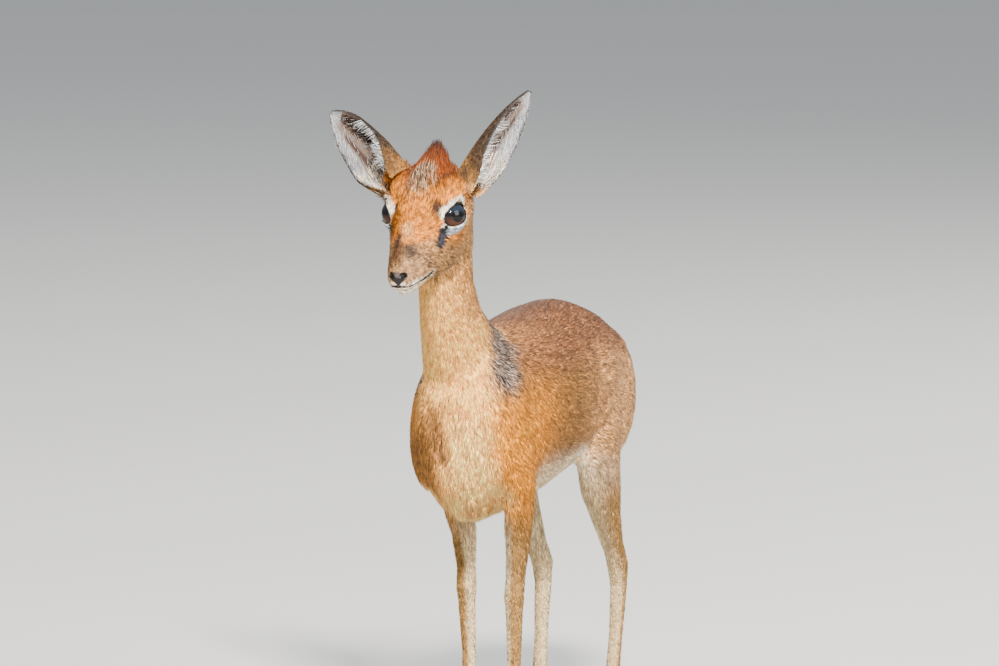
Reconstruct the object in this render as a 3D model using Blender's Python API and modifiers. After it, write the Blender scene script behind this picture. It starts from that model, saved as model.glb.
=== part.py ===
# A dik dik hen, life size, standing still with her head up: the solid parts of a museum model.
# Units are metres and Z is up. She faces -Y, and her left side is +X.
import math
import random

import bmesh
import bpy
from mathutils import Matrix, Vector

# Driving sizes
GAP = 0.0003
FLESH_VOXEL = 0.0026
HEAD_VOXEL = 0.0014
BODY_TRIANGLES = 4600
HEAD_TRIANGLES = 3100
EYE_RADIUS = 0.0122
LID = 0.0018
EAR_WALL = 0.0017
CANNON_X = 0.029
HOOF_TOP = 0.0168
CLEFT = 0.0009
FETLOCK = 0.046
SEED = 11

# How far each leg is set back from its pair's own place, towards +Y, and the heights between which
# it swings from nothing to all of that
STRIDE = {"left_fore": 0.0, "right_fore": 0.046, "left_hind": 0.0, "right_hind": -0.014}
SWING = {"fore": (0.290, 0.200), "hind": (0.250, 0.060)}

# Head: its middle lies between the eyes, and its points are (side, forward, up) from there
HEAD_CENTRE = Vector((-0.0095, -0.203, 0.473))
HEAD_TURN = math.radians(-2.0)

# Torso rings from breast to buttock: y, top, bottom, half width, how much the keel narrows
TORSO_RINGS = [
    (-0.174, 0.318, 0.262, 0.016, 0.0),
    (-0.165, 0.342, 0.238, 0.030, 0.1),
    (-0.145, 0.362, 0.220, 0.042, 0.3),
    (-0.115, 0.370, 0.213, 0.048, 0.4),
    (-0.070, 0.370, 0.214, 0.053, 0.3),
    (-0.020, 0.373, 0.221, 0.058, 0.1),
    (0.030, 0.377, 0.231, 0.060, 0.0),
    (0.075, 0.378, 0.242, 0.059, 0.0),
    (0.115, 0.369, 0.252, 0.054, 0.0),
    (0.148, 0.352, 0.262, 0.048, 0.0),
    (0.175, 0.331, 0.272, 0.038, 0.0),
    (0.190, 0.313, 0.285, 0.021, 0.0),
]

# Neck sections from the shoulders up into the skull: x, y, z, half width, half depth
NECK_SECTIONS = [
    (0.0, -0.080, 0.300, 0.0430, 0.0560),
    (-0.002, -0.112, 0.328, 0.0360, 0.0520),
    (-0.0055, -0.134, 0.357, 0.0280, 0.0430),
    (-0.0085, -0.145, 0.385, 0.0232, 0.0340),
    (-0.0100, -0.150, 0.412, 0.0216, 0.0285),
    (-0.0098, -0.155, 0.438, 0.0230, 0.0270),
    (-0.0092, -0.164, 0.462, 0.0252, 0.0255),
    (-0.0090, -0.174, 0.480, 0.0232, 0.0215),
    (-0.0095, -0.184, 0.492, 0.0150, 0.0130),
]

# Head sections from nape to nose: forward and up of the top, forward and up of the bottom,
# half width, how much the lower half narrows
HEAD_SECTIONS = [
    (-0.046, 0.022, -0.050, 0.004, 0.0100, 0.0),
    (-0.038, 0.035, -0.047, -0.010, 0.0215, 0.0),
    (-0.026, 0.041, -0.042, -0.034, 0.0295, 0.10),
    (-0.012, 0.0395, -0.031, -0.0475, 0.0315, 0.14),
    (0.001, 0.0310, -0.016, -0.0530, 0.0300, 0.18),
    (0.014, 0.0160, -0.001, -0.0555, 0.0256, 0.18),
    (0.0262, 0.0015, 0.0110, -0.0578, 0.0206, 0.16),
    (0.0372, -0.0108, 0.0220, -0.0602, 0.0164, 0.14),
    (0.0458, -0.0222, 0.0320, -0.0630, 0.0135, 0.16),
    (0.0520, -0.0325, 0.0405, -0.0640, 0.0115, 0.22),
    (0.0556, -0.0405, 0.0465, -0.0618, 0.0094, 0.25),
    (0.0567, -0.0450, 0.0515, -0.0568, 0.0070, 0.1),
]

# Eye: the ball's centre, the way it looks, half the length and height of the opening of the lids,
# and how far its outer corner is turned up
EYE_CENTRE = (0.0232, 0.0, -0.0020)
EYE_LOOK = (0.86, 0.50, 0.06)
EYE_OPENING = (0.0126, 0.0078)
EYE_SLANT = math.radians(24.0)

# Lines of the face: side, forward, up
LIP_LINE = [
    (0.0, 0.0530, -0.0566),
    (0.0065, 0.0475, -0.0544),
    (0.0130, 0.0360, -0.0497),
    (0.0160, 0.0240, -0.0448),
]
NOSTRIL = [(0.0026, 0.0578, -0.0490), (0.0048, 0.0568, -0.0466), (0.0070, 0.0543, -0.0452)]
TEAR_PIT = [(0.0230, 0.0125, -0.0125), (0.0215, 0.0158, -0.0205)]

# Nose pad: the middle and radii of the egg that it is cut out with
PAD_CENTRE = (0.0006, 0.0560, -0.0482)
PAD_RADII = (0.0072, 0.0062, 0.0064)

# Cuts through the head's profile, each from one (forward, up) to another
MOUTH_CUT = ((0.0620, -0.0603), (0.0180, -0.0424))
JAW_END_CUT = ((0.0180, -0.0422), (0.0130, -0.0720))
NECK_CUT_AT = (0.0, -0.026, -0.056)
NECK_CUT_WAY = (0.0, -0.64, -0.77)
CREST_CUT_AT = (0.0, -0.019, 0.0362)
CREST_CUT_WAY = (0.0, 0.30, 0.95)

# Legs: x beside the cannon's own, y, z, half width, half depth
FORELEG_SECTIONS = [
    (0.008, -0.118, 0.270, 0.0150, 0.0250),
    (0.007, -0.104, 0.243, 0.0140, 0.0215),
    (0.005, -0.098, 0.226, 0.0122, 0.0178),
    (0.003, -0.094, 0.196, 0.0098, 0.0124),
    (0.001, -0.094, 0.168, 0.0078, 0.0088),
    (0.000, -0.0955, 0.150, 0.0084, 0.0094),
    (0.000, -0.0945, 0.136, 0.0070, 0.0073),
    (-0.001, -0.0925, 0.096, 0.0056, 0.0063),
    (-0.001, -0.0915, 0.060, 0.0058, 0.0069),
    (-0.001, -0.0925, 0.046, 0.0074, 0.0085),
    (-0.001, -0.0975, 0.032, 0.0066, 0.0073),
    (-0.001, -0.1035, 0.019, 0.0080, 0.0098),
    (-0.001, -0.1075, 0.009, 0.0082, 0.0098),
]
HIND_LEG_SECTIONS = [
    (0.008, 0.085, 0.285, 0.0190, 0.0400),
    (0.010, 0.080, 0.252, 0.0175, 0.0340),
    (0.009, 0.092, 0.222, 0.0148, 0.0270),
    (0.006, 0.116, 0.190, 0.0106, 0.0172),
    (0.004, 0.138, 0.163, 0.0082, 0.0110),
    (0.003, 0.152, 0.146, 0.0082, 0.0122),
    (0.003, 0.1545, 0.130, 0.0068, 0.0090),
    (0.002, 0.1505, 0.092, 0.0056, 0.0066),
    (0.001, 0.1455, 0.059, 0.0058, 0.0070),
    (0.001, 0.1445, 0.046, 0.0074, 0.0086),
    (0.001, 0.1395, 0.033, 0.0066, 0.0074),
    (0.001, 0.1335, 0.019, 0.0080, 0.0098),
    (0.001, 0.1295, 0.009, 0.0082, 0.0098),
]

# The lengths that each pair of legs is parted into, with the heights of their ends
LEG_LENGTHS = {
    "fore": [
        ("forearm", 0.212, 0.143),
        ("fore_cannon", 0.143, FETLOCK),
        ("fore_pastern", FETLOCK, HOOF_TOP),
    ],
    "hind": [
        ("gaskin", 0.234, 0.146),
        ("hind_cannon", 0.146, FETLOCK),
        ("hind_pastern", FETLOCK, HOOF_TOP),
    ],
}
HIGHEST_LEG_CUT = 0.2

# Tail: x, y, z, half width, half depth
TAIL_SECTIONS = [
    (0.0, 0.168, 0.334, 0.0070, 0.0070),
    (0.0, 0.188, 0.323, 0.0100, 0.0080),
    (0.0, 0.198, 0.306, 0.0105, 0.0072),
    (0.0, 0.2010, 0.289, 0.0080, 0.0055),
    (0.0, 0.2000, 0.277, 0.0030, 0.0025),
]

# Ears: root, tip and the way the cup opens, in the head's frame, how much more than the
# profile's the cup rolls, and how much wider than the profile's its lower half gets
EARS = {
    "left": ((0.0180, -0.027, 0.0235), (0.0735, -0.045, 0.0955), (1.0, 0.16, 0.0), 1.08, 0.0),
    "right": ((-0.0220, -0.022, 0.0210), (-0.0970, -0.040, 0.0735), (-0.1, 1.0, -0.1), 1.08, 0.32),
}
EAR_WIDER_TO = 0.55
# Along an ear from root to tip: share of the length, radius of the cup, half its roll in degrees
EAR_PROFILE = [
    (0.00, 0.0112, 150.0),
    (0.15, 0.0138, 122.0),
    (0.35, 0.0178, 90.0),
    (0.55, 0.0198, 70.0),
    (0.75, 0.0190, 53.0),
    (0.90, 0.0140, 40.0),
    (1.00, 0.0040, 30.0),
]
LARGEST_ROLL = 155.0

# Crest: rows of locks from the front of the scalp to its back, which lean together to one peak:
# forward, half spread, locks, length
CREST_ROWS = [
    (-0.002, 0.008, 3, 0.010),
    (-0.009, 0.014, 5, 0.013),
    (-0.016, 0.015, 5, 0.016),
    (-0.023, 0.012, 4, 0.017),
]
LOCK_WIDTH = 0.0076
LOCK_THICKNESS = 0.0016

TAN = (0.52, 0.27, 0.11)
RUFOUS = (0.55, 0.21, 0.07)
GRIZZLED = (0.30, 0.19, 0.12)
CREAM = (0.68, 0.50, 0.33)
BLACK_HORN = (0.020, 0.018, 0.017)


def empty_scene():
    for thing in list(bpy.data.objects):
        bpy.data.objects.remove(thing, do_unlink=True)


def new_collection(name):
    group = bpy.data.collections.new(name)
    bpy.context.scene.collection.children.link(group)
    return group


def paint(thing, colour, roughness=0.85):
    """Gives a piece a material of its own."""
    finish = bpy.data.materials.new(thing.name + "_finish")
    finish.use_nodes = True
    shader = finish.node_tree.nodes["Principled BSDF"]
    shader.inputs["Base Color"].default_value = (*colour, 1.0)
    shader.inputs["Roughness"].default_value = roughness
    shader.inputs["Metallic"].default_value = 0.0
    thing.data.materials.clear()
    thing.data.materials.append(finish)


def object_from_bmesh(name, shape, group):
    bmesh.ops.recalc_face_normals(shape, faces=shape.faces)
    mesh = bpy.data.meshes.new(name)
    shape.to_mesh(mesh)
    shape.free()
    thing = bpy.data.objects.new(name, mesh)
    group.objects.link(thing)
    return thing


def remove(things):
    for thing in list(things):
        bpy.data.objects.remove(thing, do_unlink=True)


def loft(name, rings, group):
    """Skins a row of rings that have the same number of points, and closes both ends."""
    shape = bmesh.new()
    rows = [[shape.verts.new(point) for point in ring] for ring in rings]
    count = len(rows[0])
    for near, far in zip(rows, rows[1:]):
        for i in range(count):
            j = (i + 1) % count
            shape.faces.new((near[i], near[j], far[j], far[i]))
    shape.faces.new(rows[0])
    shape.faces.new(rows[-1])
    return object_from_bmesh(name, shape, group)


def oval(centre, side, up, half_side, half_up, narrowing=0.0, count=24):
    """A ring whose lower half draws in by the share narrowing."""
    ring = []
    for i in range(count):
        turn = 2.0 * math.pi * i / count
        lower = max(0.0, -math.sin(turn))
        across = math.cos(turn) * half_side * (1.0 - narrowing * lower)
        ring.append(centre + side * across + up * (math.sin(turn) * half_up))
    return ring


def limb(name, sections, group, count=20):
    """A tube through sections of x, y, z, half width and half depth, square to its own path."""
    points = [Vector(section[:3]) for section in sections]
    last = len(points) - 1
    rings = []
    for i, section in enumerate(sections):
        along = (points[min(i + 1, last)] - points[max(i - 1, 0)]).normalized()
        front = along.cross(Vector((1.0, 0.0, 0.0))).normalized()
        side = front.cross(along).normalized()
        rings.append(oval(points[i], side, front, section[3], section[4], 0.0, count))
    return loft(name, rings, group)


def lump(name, centre, radii, group, pitch=0.0, segments=20):
    """An egg, such as a muscle or an eyeball, pitched about X by an angle in degrees."""
    shape = bmesh.new()
    bmesh.ops.create_uvsphere(shape, u_segments=segments, v_segments=segments // 2, radius=1.0)
    turn = Matrix.Rotation(math.radians(pitch), 4, "X")
    place = Matrix.Translation(centre) @ turn @ Matrix.Diagonal((*radii, 1.0))
    bmesh.ops.transform(shape, matrix=place, verts=shape.verts)
    return object_from_bmesh(name, shape, group)


def bake_modifiers(thing):
    """Keeps what the modifiers make, as plain mesh."""
    graph = bpy.context.evaluated_depsgraph_get()
    result = bpy.data.meshes.new_from_object(thing.evaluated_get(graph))
    thing.modifiers.clear()
    thing.data = result


def fuse(name, pieces, group, voxel):
    """Melts overlapping closed pieces into one even skin."""
    shape = bmesh.new()
    for piece in pieces:
        shape.from_mesh(piece.data)
    remove(pieces)
    thing = object_from_bmesh(name, shape, group)
    remesh = thing.modifiers.new("skin", "REMESH")
    remesh.mode = "VOXEL"
    remesh.voxel_size = voxel
    bake_modifiers(thing)
    return thing


def soften(thing, rounds, lowest=-1.0):
    """Evens out the creases above a height."""
    shape = bmesh.new()
    shape.from_mesh(thing.data)
    chosen = [vertex for vertex in shape.verts if vertex.co.z > lowest]
    for _ in range(rounds):
        bmesh.ops.smooth_vert(
            shape, verts=chosen, factor=0.5, use_axis_x=True, use_axis_y=True, use_axis_z=True
        )
    shape.to_mesh(thing.data)
    shape.free()


def thin_out(thing, triangles):
    """Brings a skin down to a number of triangles."""
    count = sum(len(face.vertices) - 2 for face in thing.data.polygons)
    decimate = thing.modifiers.new("thin", "DECIMATE")
    decimate.ratio = min(1.0, triangles / count)
    decimate.use_collapse_triangulate = True
    bake_modifiers(thing)


def cut_or_join(thing, others, operation, solver="EXACT"):
    """Cuts, trims or joins a mesh by closed meshes in one Boolean, which are then removed."""
    group = new_collection("operands")
    for other in others:
        for owner in list(other.users_collection):
            owner.objects.unlink(other)
        group.objects.link(other)
        other.hide_render = True
        other.display_type = "WIRE"
    boolean = thing.modifiers.new("boolean", "BOOLEAN")
    boolean.operation = operation
    boolean.solver = solver
    boolean.operand_type = "COLLECTION"
    boolean.collection = group
    bake_modifiers(thing)
    remove(others)
    bpy.data.collections.remove(group)


def surfaces(shape):
    """The separate surfaces of a mesh, as lists of faces, the largest first."""
    left = set(shape.faces)
    found = []
    for start in shape.faces:
        if start not in left:
            continue
        left.remove(start)
        surface, todo = [start], [start]
        while todo:
            for edge in todo.pop().edges:
                for face in edge.link_faces:
                    if face in left:
                        left.remove(face)
                        surface.append(face)
                        todo.append(face)
        found.append(surface)
    return sorted(found, key=lambda faces: -sum(face.calc_area() for face in faces))


def keep_surface(thing, rank=0):
    """Keeps one of a mesh's closed surfaces, the largest unless a rank is given."""
    shape = bmesh.new()
    shape.from_mesh(thing.data)
    parts = surfaces(shape)
    scraps = [face for i, part in enumerate(parts) if i != rank for face in part]
    bmesh.ops.delete(shape, geom=scraps, context="FACES")
    bmesh.ops.triangulate(shape, faces=shape.faces)
    shape.to_mesh(thing.data)
    shape.free()


def part_into(thing, names, group):
    """Splits a cut skin into its surfaces, and names each after the nearest of the given places."""
    shape = bmesh.new()
    shape.from_mesh(thing.data)
    middles = []
    for part in surfaces(shape):
        spots = [face.calc_center_median() for face in part]
        middles.append(sum(spots, Vector()) / len(spots))
    shape.free()
    nodes = {}
    for name, place in names.items():
        rank = min(range(len(middles)), key=lambda i: (middles[i] - Vector(place)).length)
        twin = copy_of(thing, name, group)
        keep_surface(twin, rank)
        nodes[name] = twin
    remove([thing])
    return nodes


def copy_of(thing, name, group):
    twin = bpy.data.objects.new(name, thing.data.copy())
    group.objects.link(twin)
    return twin


def swollen(thing, group):
    """A copy that stands proud by the gap all over, to trim what meets it."""
    twin = copy_of(thing, "swollen", group)
    for vertex in thing.data.vertices:
        twin.data.vertices[vertex.index].co += vertex.normal * GAP
    return twin


def slab(centre, normal, half_size, half_thickness, group):
    """A square plate across a part of the body."""
    shape = bmesh.new()
    bmesh.ops.create_cube(shape, size=2.0)
    turn = Vector((0.0, 0.0, 1.0)).rotation_difference(Vector(normal)).to_matrix().to_4x4()
    size = Matrix.Diagonal((half_size, half_size, half_thickness, 1.0))
    bmesh.ops.transform(shape, matrix=Matrix.Translation(centre) @ turn @ size, verts=shape.verts)
    return object_from_bmesh("slab", shape, group)


def thin_cut(centre, normal, half_size, group):
    """The cut between two nodes, one gap thick."""
    return slab(centre, normal, half_size, GAP / 2.0, group)


def beyond(centre, normal, group):
    """A large cube on the far side of a plane, half a gap clear of it."""
    half = 0.3
    middle = Vector(centre) + Vector(normal).normalized() * (half - GAP / 2.0)
    return slab(middle, normal, half, half, group)


def head_point(place):
    """A point of the head's frame, in the model's."""
    side, forward, up = place
    return HEAD_CENTRE + Matrix.Rotation(HEAD_TURN, 3, "Z") @ Vector((side, -forward, up))


def head_way(way):
    """A direction of the head's frame, in the model's."""
    return (head_point(way) - HEAD_CENTRE).normalized()


def on_side(place, sign):
    """A point or direction of the head's frame on its left for sign 1, on its right for sign -1."""
    return (sign * place[0], place[1], place[2])


def profile_cut(ends, group):
    """A thin cut through the whole width of the head between two points of its profile."""
    start, stop = [head_point((0.0, forward, up)) for forward, up in ends]
    along = (stop - start).normalized()
    side = head_way((1.0, 0.0, 0.0))
    shape = bmesh.new()
    bmesh.ops.create_cube(shape, size=2.0)
    turn = Matrix((side, along, side.cross(along))).transposed().to_4x4()
    size = Matrix.Diagonal((0.04, (stop - start).length / 2.0, GAP / 2.0, 1.0))
    place = Matrix.Translation((start + stop) / 2.0) @ turn @ size
    bmesh.ops.transform(shape, matrix=place, verts=shape.verts)
    return object_from_bmesh("profile_cut", shape, group)


def press(thing, path, reach, depth):
    """Moves the skin along its normals near a path: outward, or inward where depth is negative."""
    stops = []
    for near, far in zip(path, path[1:]):
        steps = max(1, round((far - near).length / (reach * 0.3)))
        stops += [near.lerp(far, step / steps) for step in range(steps)]
    stops.append(path[-1])
    for vertex in thing.data.vertices:
        nearest = min((vertex.co - stop).length for stop in stops)
        if nearest < reach:
            share = 0.5 + 0.5 * math.cos(math.pi * nearest / reach)
            vertex.co += vertex.normal * (depth * share)
    thing.data.update()


def leg_sections(sections, side, pair):
    """The sections of one leg, with its foot set back by its own stride."""
    sign = 1.0 if side == "left" else -1.0
    start, stop = SWING[pair]
    placed = []
    for x, y, z, half_width, half_depth in sections:
        share = min(1.0, max(0.0, (start - z) / (start - stop)))
        back = STRIDE[side + "_" + pair] * share * share * (3.0 - 2.0 * share)
        placed.append((sign * (CANNON_X + x), y + back, z, half_width, half_depth))
    return placed


def at_height(sections, z):
    """The middle of a leg at a height."""
    for above, below in zip(sections, sections[1:]):
        if below[2] <= z <= above[2]:
            share = (above[2] - z) / (above[2] - below[2])
            return Vector(above[:3]).lerp(Vector(below[:3]), share)
    return Vector(sections[-1][:3])


def body_flesh(group):
    """Trunk, neck and legs as one skin."""
    rings = []
    for y, top, bottom, half_width, keel in TORSO_RINGS:
        centre = Vector((0.0, y, (top + bottom) / 2.0))
        across = Vector((1.0, 0.0, 0.0))
        upward = Vector((0.0, 0.0, 1.0))
        rings.append(oval(centre, across, upward, half_width, (top - bottom) / 2.0, keel, 32))
    pieces = [loft("trunk", rings, group), limb("neck", NECK_SECTIONS, group, 28)]
    for sign, side in ((1.0, "left"), (-1.0, "right")):
        pieces.append(limb("foreleg", leg_sections(FORELEG_SECTIONS, side, "fore"), group))
        pieces.append(limb("hind_leg", leg_sections(HIND_LEG_SECTIONS, side, "hind"), group))
        shoulder = Vector((sign * 0.031, -0.118, 0.292))
        pieces.append(lump("shoulder", shoulder, (0.0185, 0.033, 0.056), group, -16.0))
        haunch = Vector((sign * 0.030, 0.116, 0.294))
        pieces.append(lump("haunch", haunch, (0.0245, 0.056, 0.060), group, 20.0))
    flesh = fuse("flesh", pieces, group, FLESH_VOXEL)
    soften(flesh, 14, 0.225)
    soften(flesh, 2)
    return flesh


def head_flesh(group):
    """Skull, muzzle and the top of the neck as one skin, with mounds over the eyes."""
    across = head_way((1.0, 0.0, 0.0))
    rings = []
    for top_forward, top_up, low_forward, low_up, half_width, keel in HEAD_SECTIONS:
        top = head_point((0.0, top_forward, top_up))
        low = head_point((0.0, low_forward, low_up))
        half_height = (top - low).length / 2.0
        upward = (top - low).normalized()
        rings.append(oval((top + low) / 2.0, across, upward, half_width, half_height, keel))
    pieces = [loft("skull", rings, group), limb("nape", NECK_SECTIONS[2:], group, 28)]
    for sign in (1.0, -1.0):
        radius = EYE_RADIUS + LID
        pieces.append(lump("eye_mound", head_point(on_side(EYE_CENTRE, sign)), (radius,) * 3, group))
        cheek = head_point((sign * 0.0135, -0.012, -0.029))
        pieces.append(lump("cheek", cheek, (0.0115, 0.021, 0.017), group))
        temple = head_point((sign * 0.0185, -0.010, 0.0130))
        pieces.append(lump("temple", temple, (0.0125, 0.019, 0.0160), group))
    head = fuse("head_flesh", pieces, group, HEAD_VOXEL)
    soften(head, 6)
    return head


def shape_face(head):
    """Presses lips, nostrils and the gland before each eye into the skin."""
    for sign in (1.0, -1.0):
        press(head, [head_point(on_side(place, sign)) for place in LIP_LINE], 0.0040, 0.0008)
        press(head, [head_point(on_side(place, sign)) for place in NOSTRIL], 0.0030, -0.0022)
        press(head, [head_point(on_side(place, sign)) for place in TEAR_PIT], 0.0045, -0.0012)


def eye_slit(sign, group):
    """An almond-shaped prism along the way the eye looks, which opens the lids."""
    look = head_way(on_side(EYE_LOOK, sign))
    centre = head_point(on_side(EYE_CENTRE, sign))
    along = Vector((0.0, 0.0, 1.0)).cross(look).normalized()
    slant = Matrix.Rotation(EYE_SLANT * sign, 3, look)
    along = slant @ along
    across = look.cross(along).normalized()
    half_long, half_high = EYE_OPENING
    rings = []
    for distance in (EYE_RADIUS * 0.35, EYE_RADIUS * 1.6):
        ring = []
        for i in range(20):
            turn = 2.0 * math.pi * i / 20
            height = math.copysign(abs(math.sin(turn)) ** 1.25, math.sin(turn)) * half_high
            flat = along * (math.cos(turn) * half_long) + across * height
            ring.append(centre + look * distance + flat)
        rings.append(ring)
    return loft("slit", rings, group)


def set_eyes(head, cutters, group):
    """Cuts each socket under its lids, and sets the eyeball in it."""
    nodes = {}
    for sign, side in ((1.0, "left"), (-1.0, "right")):
        centre = head_point(on_side(EYE_CENTRE, sign))
        socket = lump("socket", centre, (EYE_RADIUS + GAP,) * 3, cutters)
        cut_or_join(socket, [eye_slit(sign, cutters)], "UNION")
        cut_or_join(head, [socket], "DIFFERENCE")
        nodes["eye_" + side] = lump("eye_" + side, centre, (EYE_RADIUS,) * 3, group)
    keep_surface(head)
    return nodes


def nose_pad(head, cutters, group):
    """The bare pad round the nostrils, set into the muzzle."""
    centre = head_point(PAD_CENTRE)
    pad = copy_of(head, "nose", group)
    cut_or_join(pad, [lump("pad", centre, PAD_RADII, cutters)], "INTERSECT")
    keep_surface(pad)
    bed = lump("bed", centre, [radius + GAP for radius in PAD_RADII], cutters)
    cut_or_join(head, [bed], "DIFFERENCE")
    keep_surface(head)
    return pad


def between(share, column):
    """A value of the ear's profile at a share of its length."""
    for near, far in zip(EAR_PROFILE, EAR_PROFILE[1:]):
        if share <= far[0]:
            part = (share - near[0]) / (far[0] - near[0])
            return near[column] + (far[column] - near[column]) * part
    return EAR_PROFILE[-1][column]


def ear(side, skin, cutters, group):
    """A leaf that is rolled to a cup at its root and opens towards its tip, trimmed to the head."""
    root, tip, opening, cupping, wider = EARS[side]
    root, tip, opening = head_point(root), head_point(tip), head_way(opening)
    length = (tip - root).length
    axis = (tip - root) / length
    opening = (opening - axis * opening.dot(axis)).normalized()
    across = axis.cross(opening)
    rows, columns = 13, 10
    shape = bmesh.new()
    grid = []
    for row in range(rows + 1):
        share = row / rows
        radius = between(share, 1) * (1.0 + wider * max(0.0, 1.0 - share / EAR_WIDER_TO))
        roll = math.radians(min(LARGEST_ROLL, between(share, 2) * cupping))
        spine = root + axis * (length * share) - opening * (0.004 * math.sin(math.pi * share))
        line = []
        for column in range(columns + 1):
            turn = roll * (2.0 * column / columns - 1.0)
            out = opening * (radius * (1.0 - math.cos(turn)))
            line.append(shape.verts.new(spine + out + across * (radius * math.sin(turn))))
        grid.append(line)
    for near, far in zip(grid, grid[1:]):
        for i in range(columns):
            shape.faces.new((near[i], near[i + 1], far[i + 1], far[i]))
    leaf = object_from_bmesh("ear_" + side, shape, group)
    wall = leaf.modifiers.new("wall", "SOLIDIFY")
    wall.thickness = EAR_WALL
    wall.offset = 0.0
    bake_modifiers(leaf)
    cut_or_join(leaf, [swollen(skin, cutters)], "DIFFERENCE")
    keep_surface(leaf)
    return leaf


def lock(root, way, droop, length, width, group):
    """A flat tapered lock of stiff hair that leans back towards its tip."""
    steps = 3
    flat = way.cross(Vector((0.0, 1.0, 0.0))).normalized()
    point = root.copy()
    rings = []
    for step in range(steps + 1):
        share = step / steps
        taper = (1.0 - share) ** 0.7 * 0.92 + 0.08
        normal = flat.cross(way).normalized()
        rings.append(oval(point, flat, normal, width / 2.0 * taper, LOCK_THICKNESS / 2.0 * taper, 0.0, 5))
        point = point + way * (length / steps)
        way = (way + droop * 0.22).normalized()
    return loft("lock", rings, group)


def crest(skin, cutters, group):
    """The scalp between the ears with the locks of the crest rooted in it."""
    draw = random.Random(SEED)
    at, way = head_point(CREST_CUT_AT), head_way(CREST_CUT_WAY)
    scalp = copy_of(skin, "crest", group)
    locks = []
    for forward, spread, count, length in CREST_ROWS:
        for i in range(count):
            share = 2.0 * (i + 0.5) / count - 1.0
            aside = spread * share - 0.002 + draw.uniform(-0.001, 0.001)
            above = head_point((aside, forward, 0.08))
            hit, place, normal, face = skin.ray_cast(above, Vector((0.0, 0.0, -1.0)))
            lean = head_way((-0.25 * share, -0.45 + draw.uniform(-0.10, 0.10), 0.90))
            droop = head_way((-0.6 * share, -0.8, 0.1))
            own = length * draw.uniform(0.85, 1.15) * (1.0 - 0.35 * share * share)
            wide = LOCK_WIDTH * draw.uniform(0.85, 1.15)
            locks.append(lock(place - lean * 0.003, lean, droop, own + 0.003, wide, cutters))
    cut_or_join(scalp, locks, "UNION", "MANIFOLD")
    cut_or_join(scalp, [beyond(at, -way, cutters)], "DIFFERENCE")
    keep_surface(scalp)
    return scalp


def claw(name, foot, sign, group):
    """One claw of a cloven hoof: a wedge with a flat sole that narrows to its toe."""
    levels = [
        (0.0, 0.0150, 0.0100, 0.0086),
        (0.0070, 0.0112, 0.0098, 0.0090),
        (HOOF_TOP - GAP, 0.0060, 0.0092, 0.0080),
    ]
    rings = []
    for height, toe, heel, wide in levels:
        ring = []
        for i in range(14):
            turn = 2.0 * math.pi * i / 14
            forward = (toe - heel) / 2.0 + math.cos(turn) * (toe + heel) / 2.0
            taper = 1.0 - 0.5 * max(0.0, math.cos(turn)) ** 2
            bulge = math.copysign(abs(math.sin(turn)) ** 0.6, math.sin(turn))
            out = CLEFT + wide * taper * (0.5 + 0.5 * bulge)
            ring.append(Vector((foot.x + sign * out, foot.y - forward, height)))
        rings.append(ring)
    return loft(name, rings, group)


def hooves(group):
    """Two claws under each foot, one on each side of its cleft."""
    nodes = {}
    for pair, sections in (("fore", FORELEG_SECTIONS), ("hind", HIND_LEG_SECTIONS)):
        for side in ("left", "right"):
            foot = at_height(leg_sections(sections, side, pair), HOOF_TOP)
            outward = 1.0 if side == "left" else -1.0
            for place, sign in (("outer", outward), ("inner", -outward)):
                name = "_".join((pair, "hoof", side, place))
                nodes[name] = claw(name, foot, sign, group)
    return nodes


def body_nodes(cutters, group):
    """Parts the body's skin with thin cuts into neck, trunk and the lengths of each leg."""
    flesh = body_flesh(cutters)
    thin_out(flesh, BODY_TRIANGLES)
    sole = (0.0, 0.0, HOOF_TOP)
    cut_or_join(flesh, [beyond(sole, (0.0, 0.0, -1.0), cutters)], "DIFFERENCE")
    neck_top = beyond(head_point(NECK_CUT_AT), -head_way(NECK_CUT_WAY), cutters)
    cut_or_join(flesh, [neck_top], "DIFFERENCE")
    cuts = [
        thin_cut((0.0, -0.128, 0.352), (0.0, -0.45, 0.89), 0.08, cutters),
        thin_cut((0.0, -0.055, 0.300), (0.0, 1.0, 0.0), 0.10, cutters),
        thin_cut((0.0, 0.040, 0.305), (0.0, 1.0, 0.0), 0.10, cutters),
    ]
    names = {
        "neck": (-0.011, -0.150, 0.395),
        "forequarters": (0.0, -0.11, 0.29),
        "barrel": (0.0, -0.005, 0.30),
        "hindquarters": (0.0, 0.11, 0.31),
    }
    for pair, sections in (("fore", FORELEG_SECTIONS), ("hind", HIND_LEG_SECTIONS)):
        for side in ("left", "right"):
            leg = leg_sections(sections, side, pair)
            for name, top, bottom in LEG_LENGTHS[pair]:
                joins_trunk = top > HIGHEST_LEG_CUT
                half_size = 0.045 if joins_trunk else 0.020
                middle = at_height(leg, top)
                if joins_trunk:
                    middle.x = math.copysign(0.046, middle.x)
                cuts.append(thin_cut(middle, (0.0, 0.0, 1.0), half_size, cutters))
                names[name + "_" + side] = at_height(leg, (top + bottom) / 2.0)
    cut_or_join(flesh, cuts, "DIFFERENCE")
    return part_into(flesh, names, group)


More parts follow.
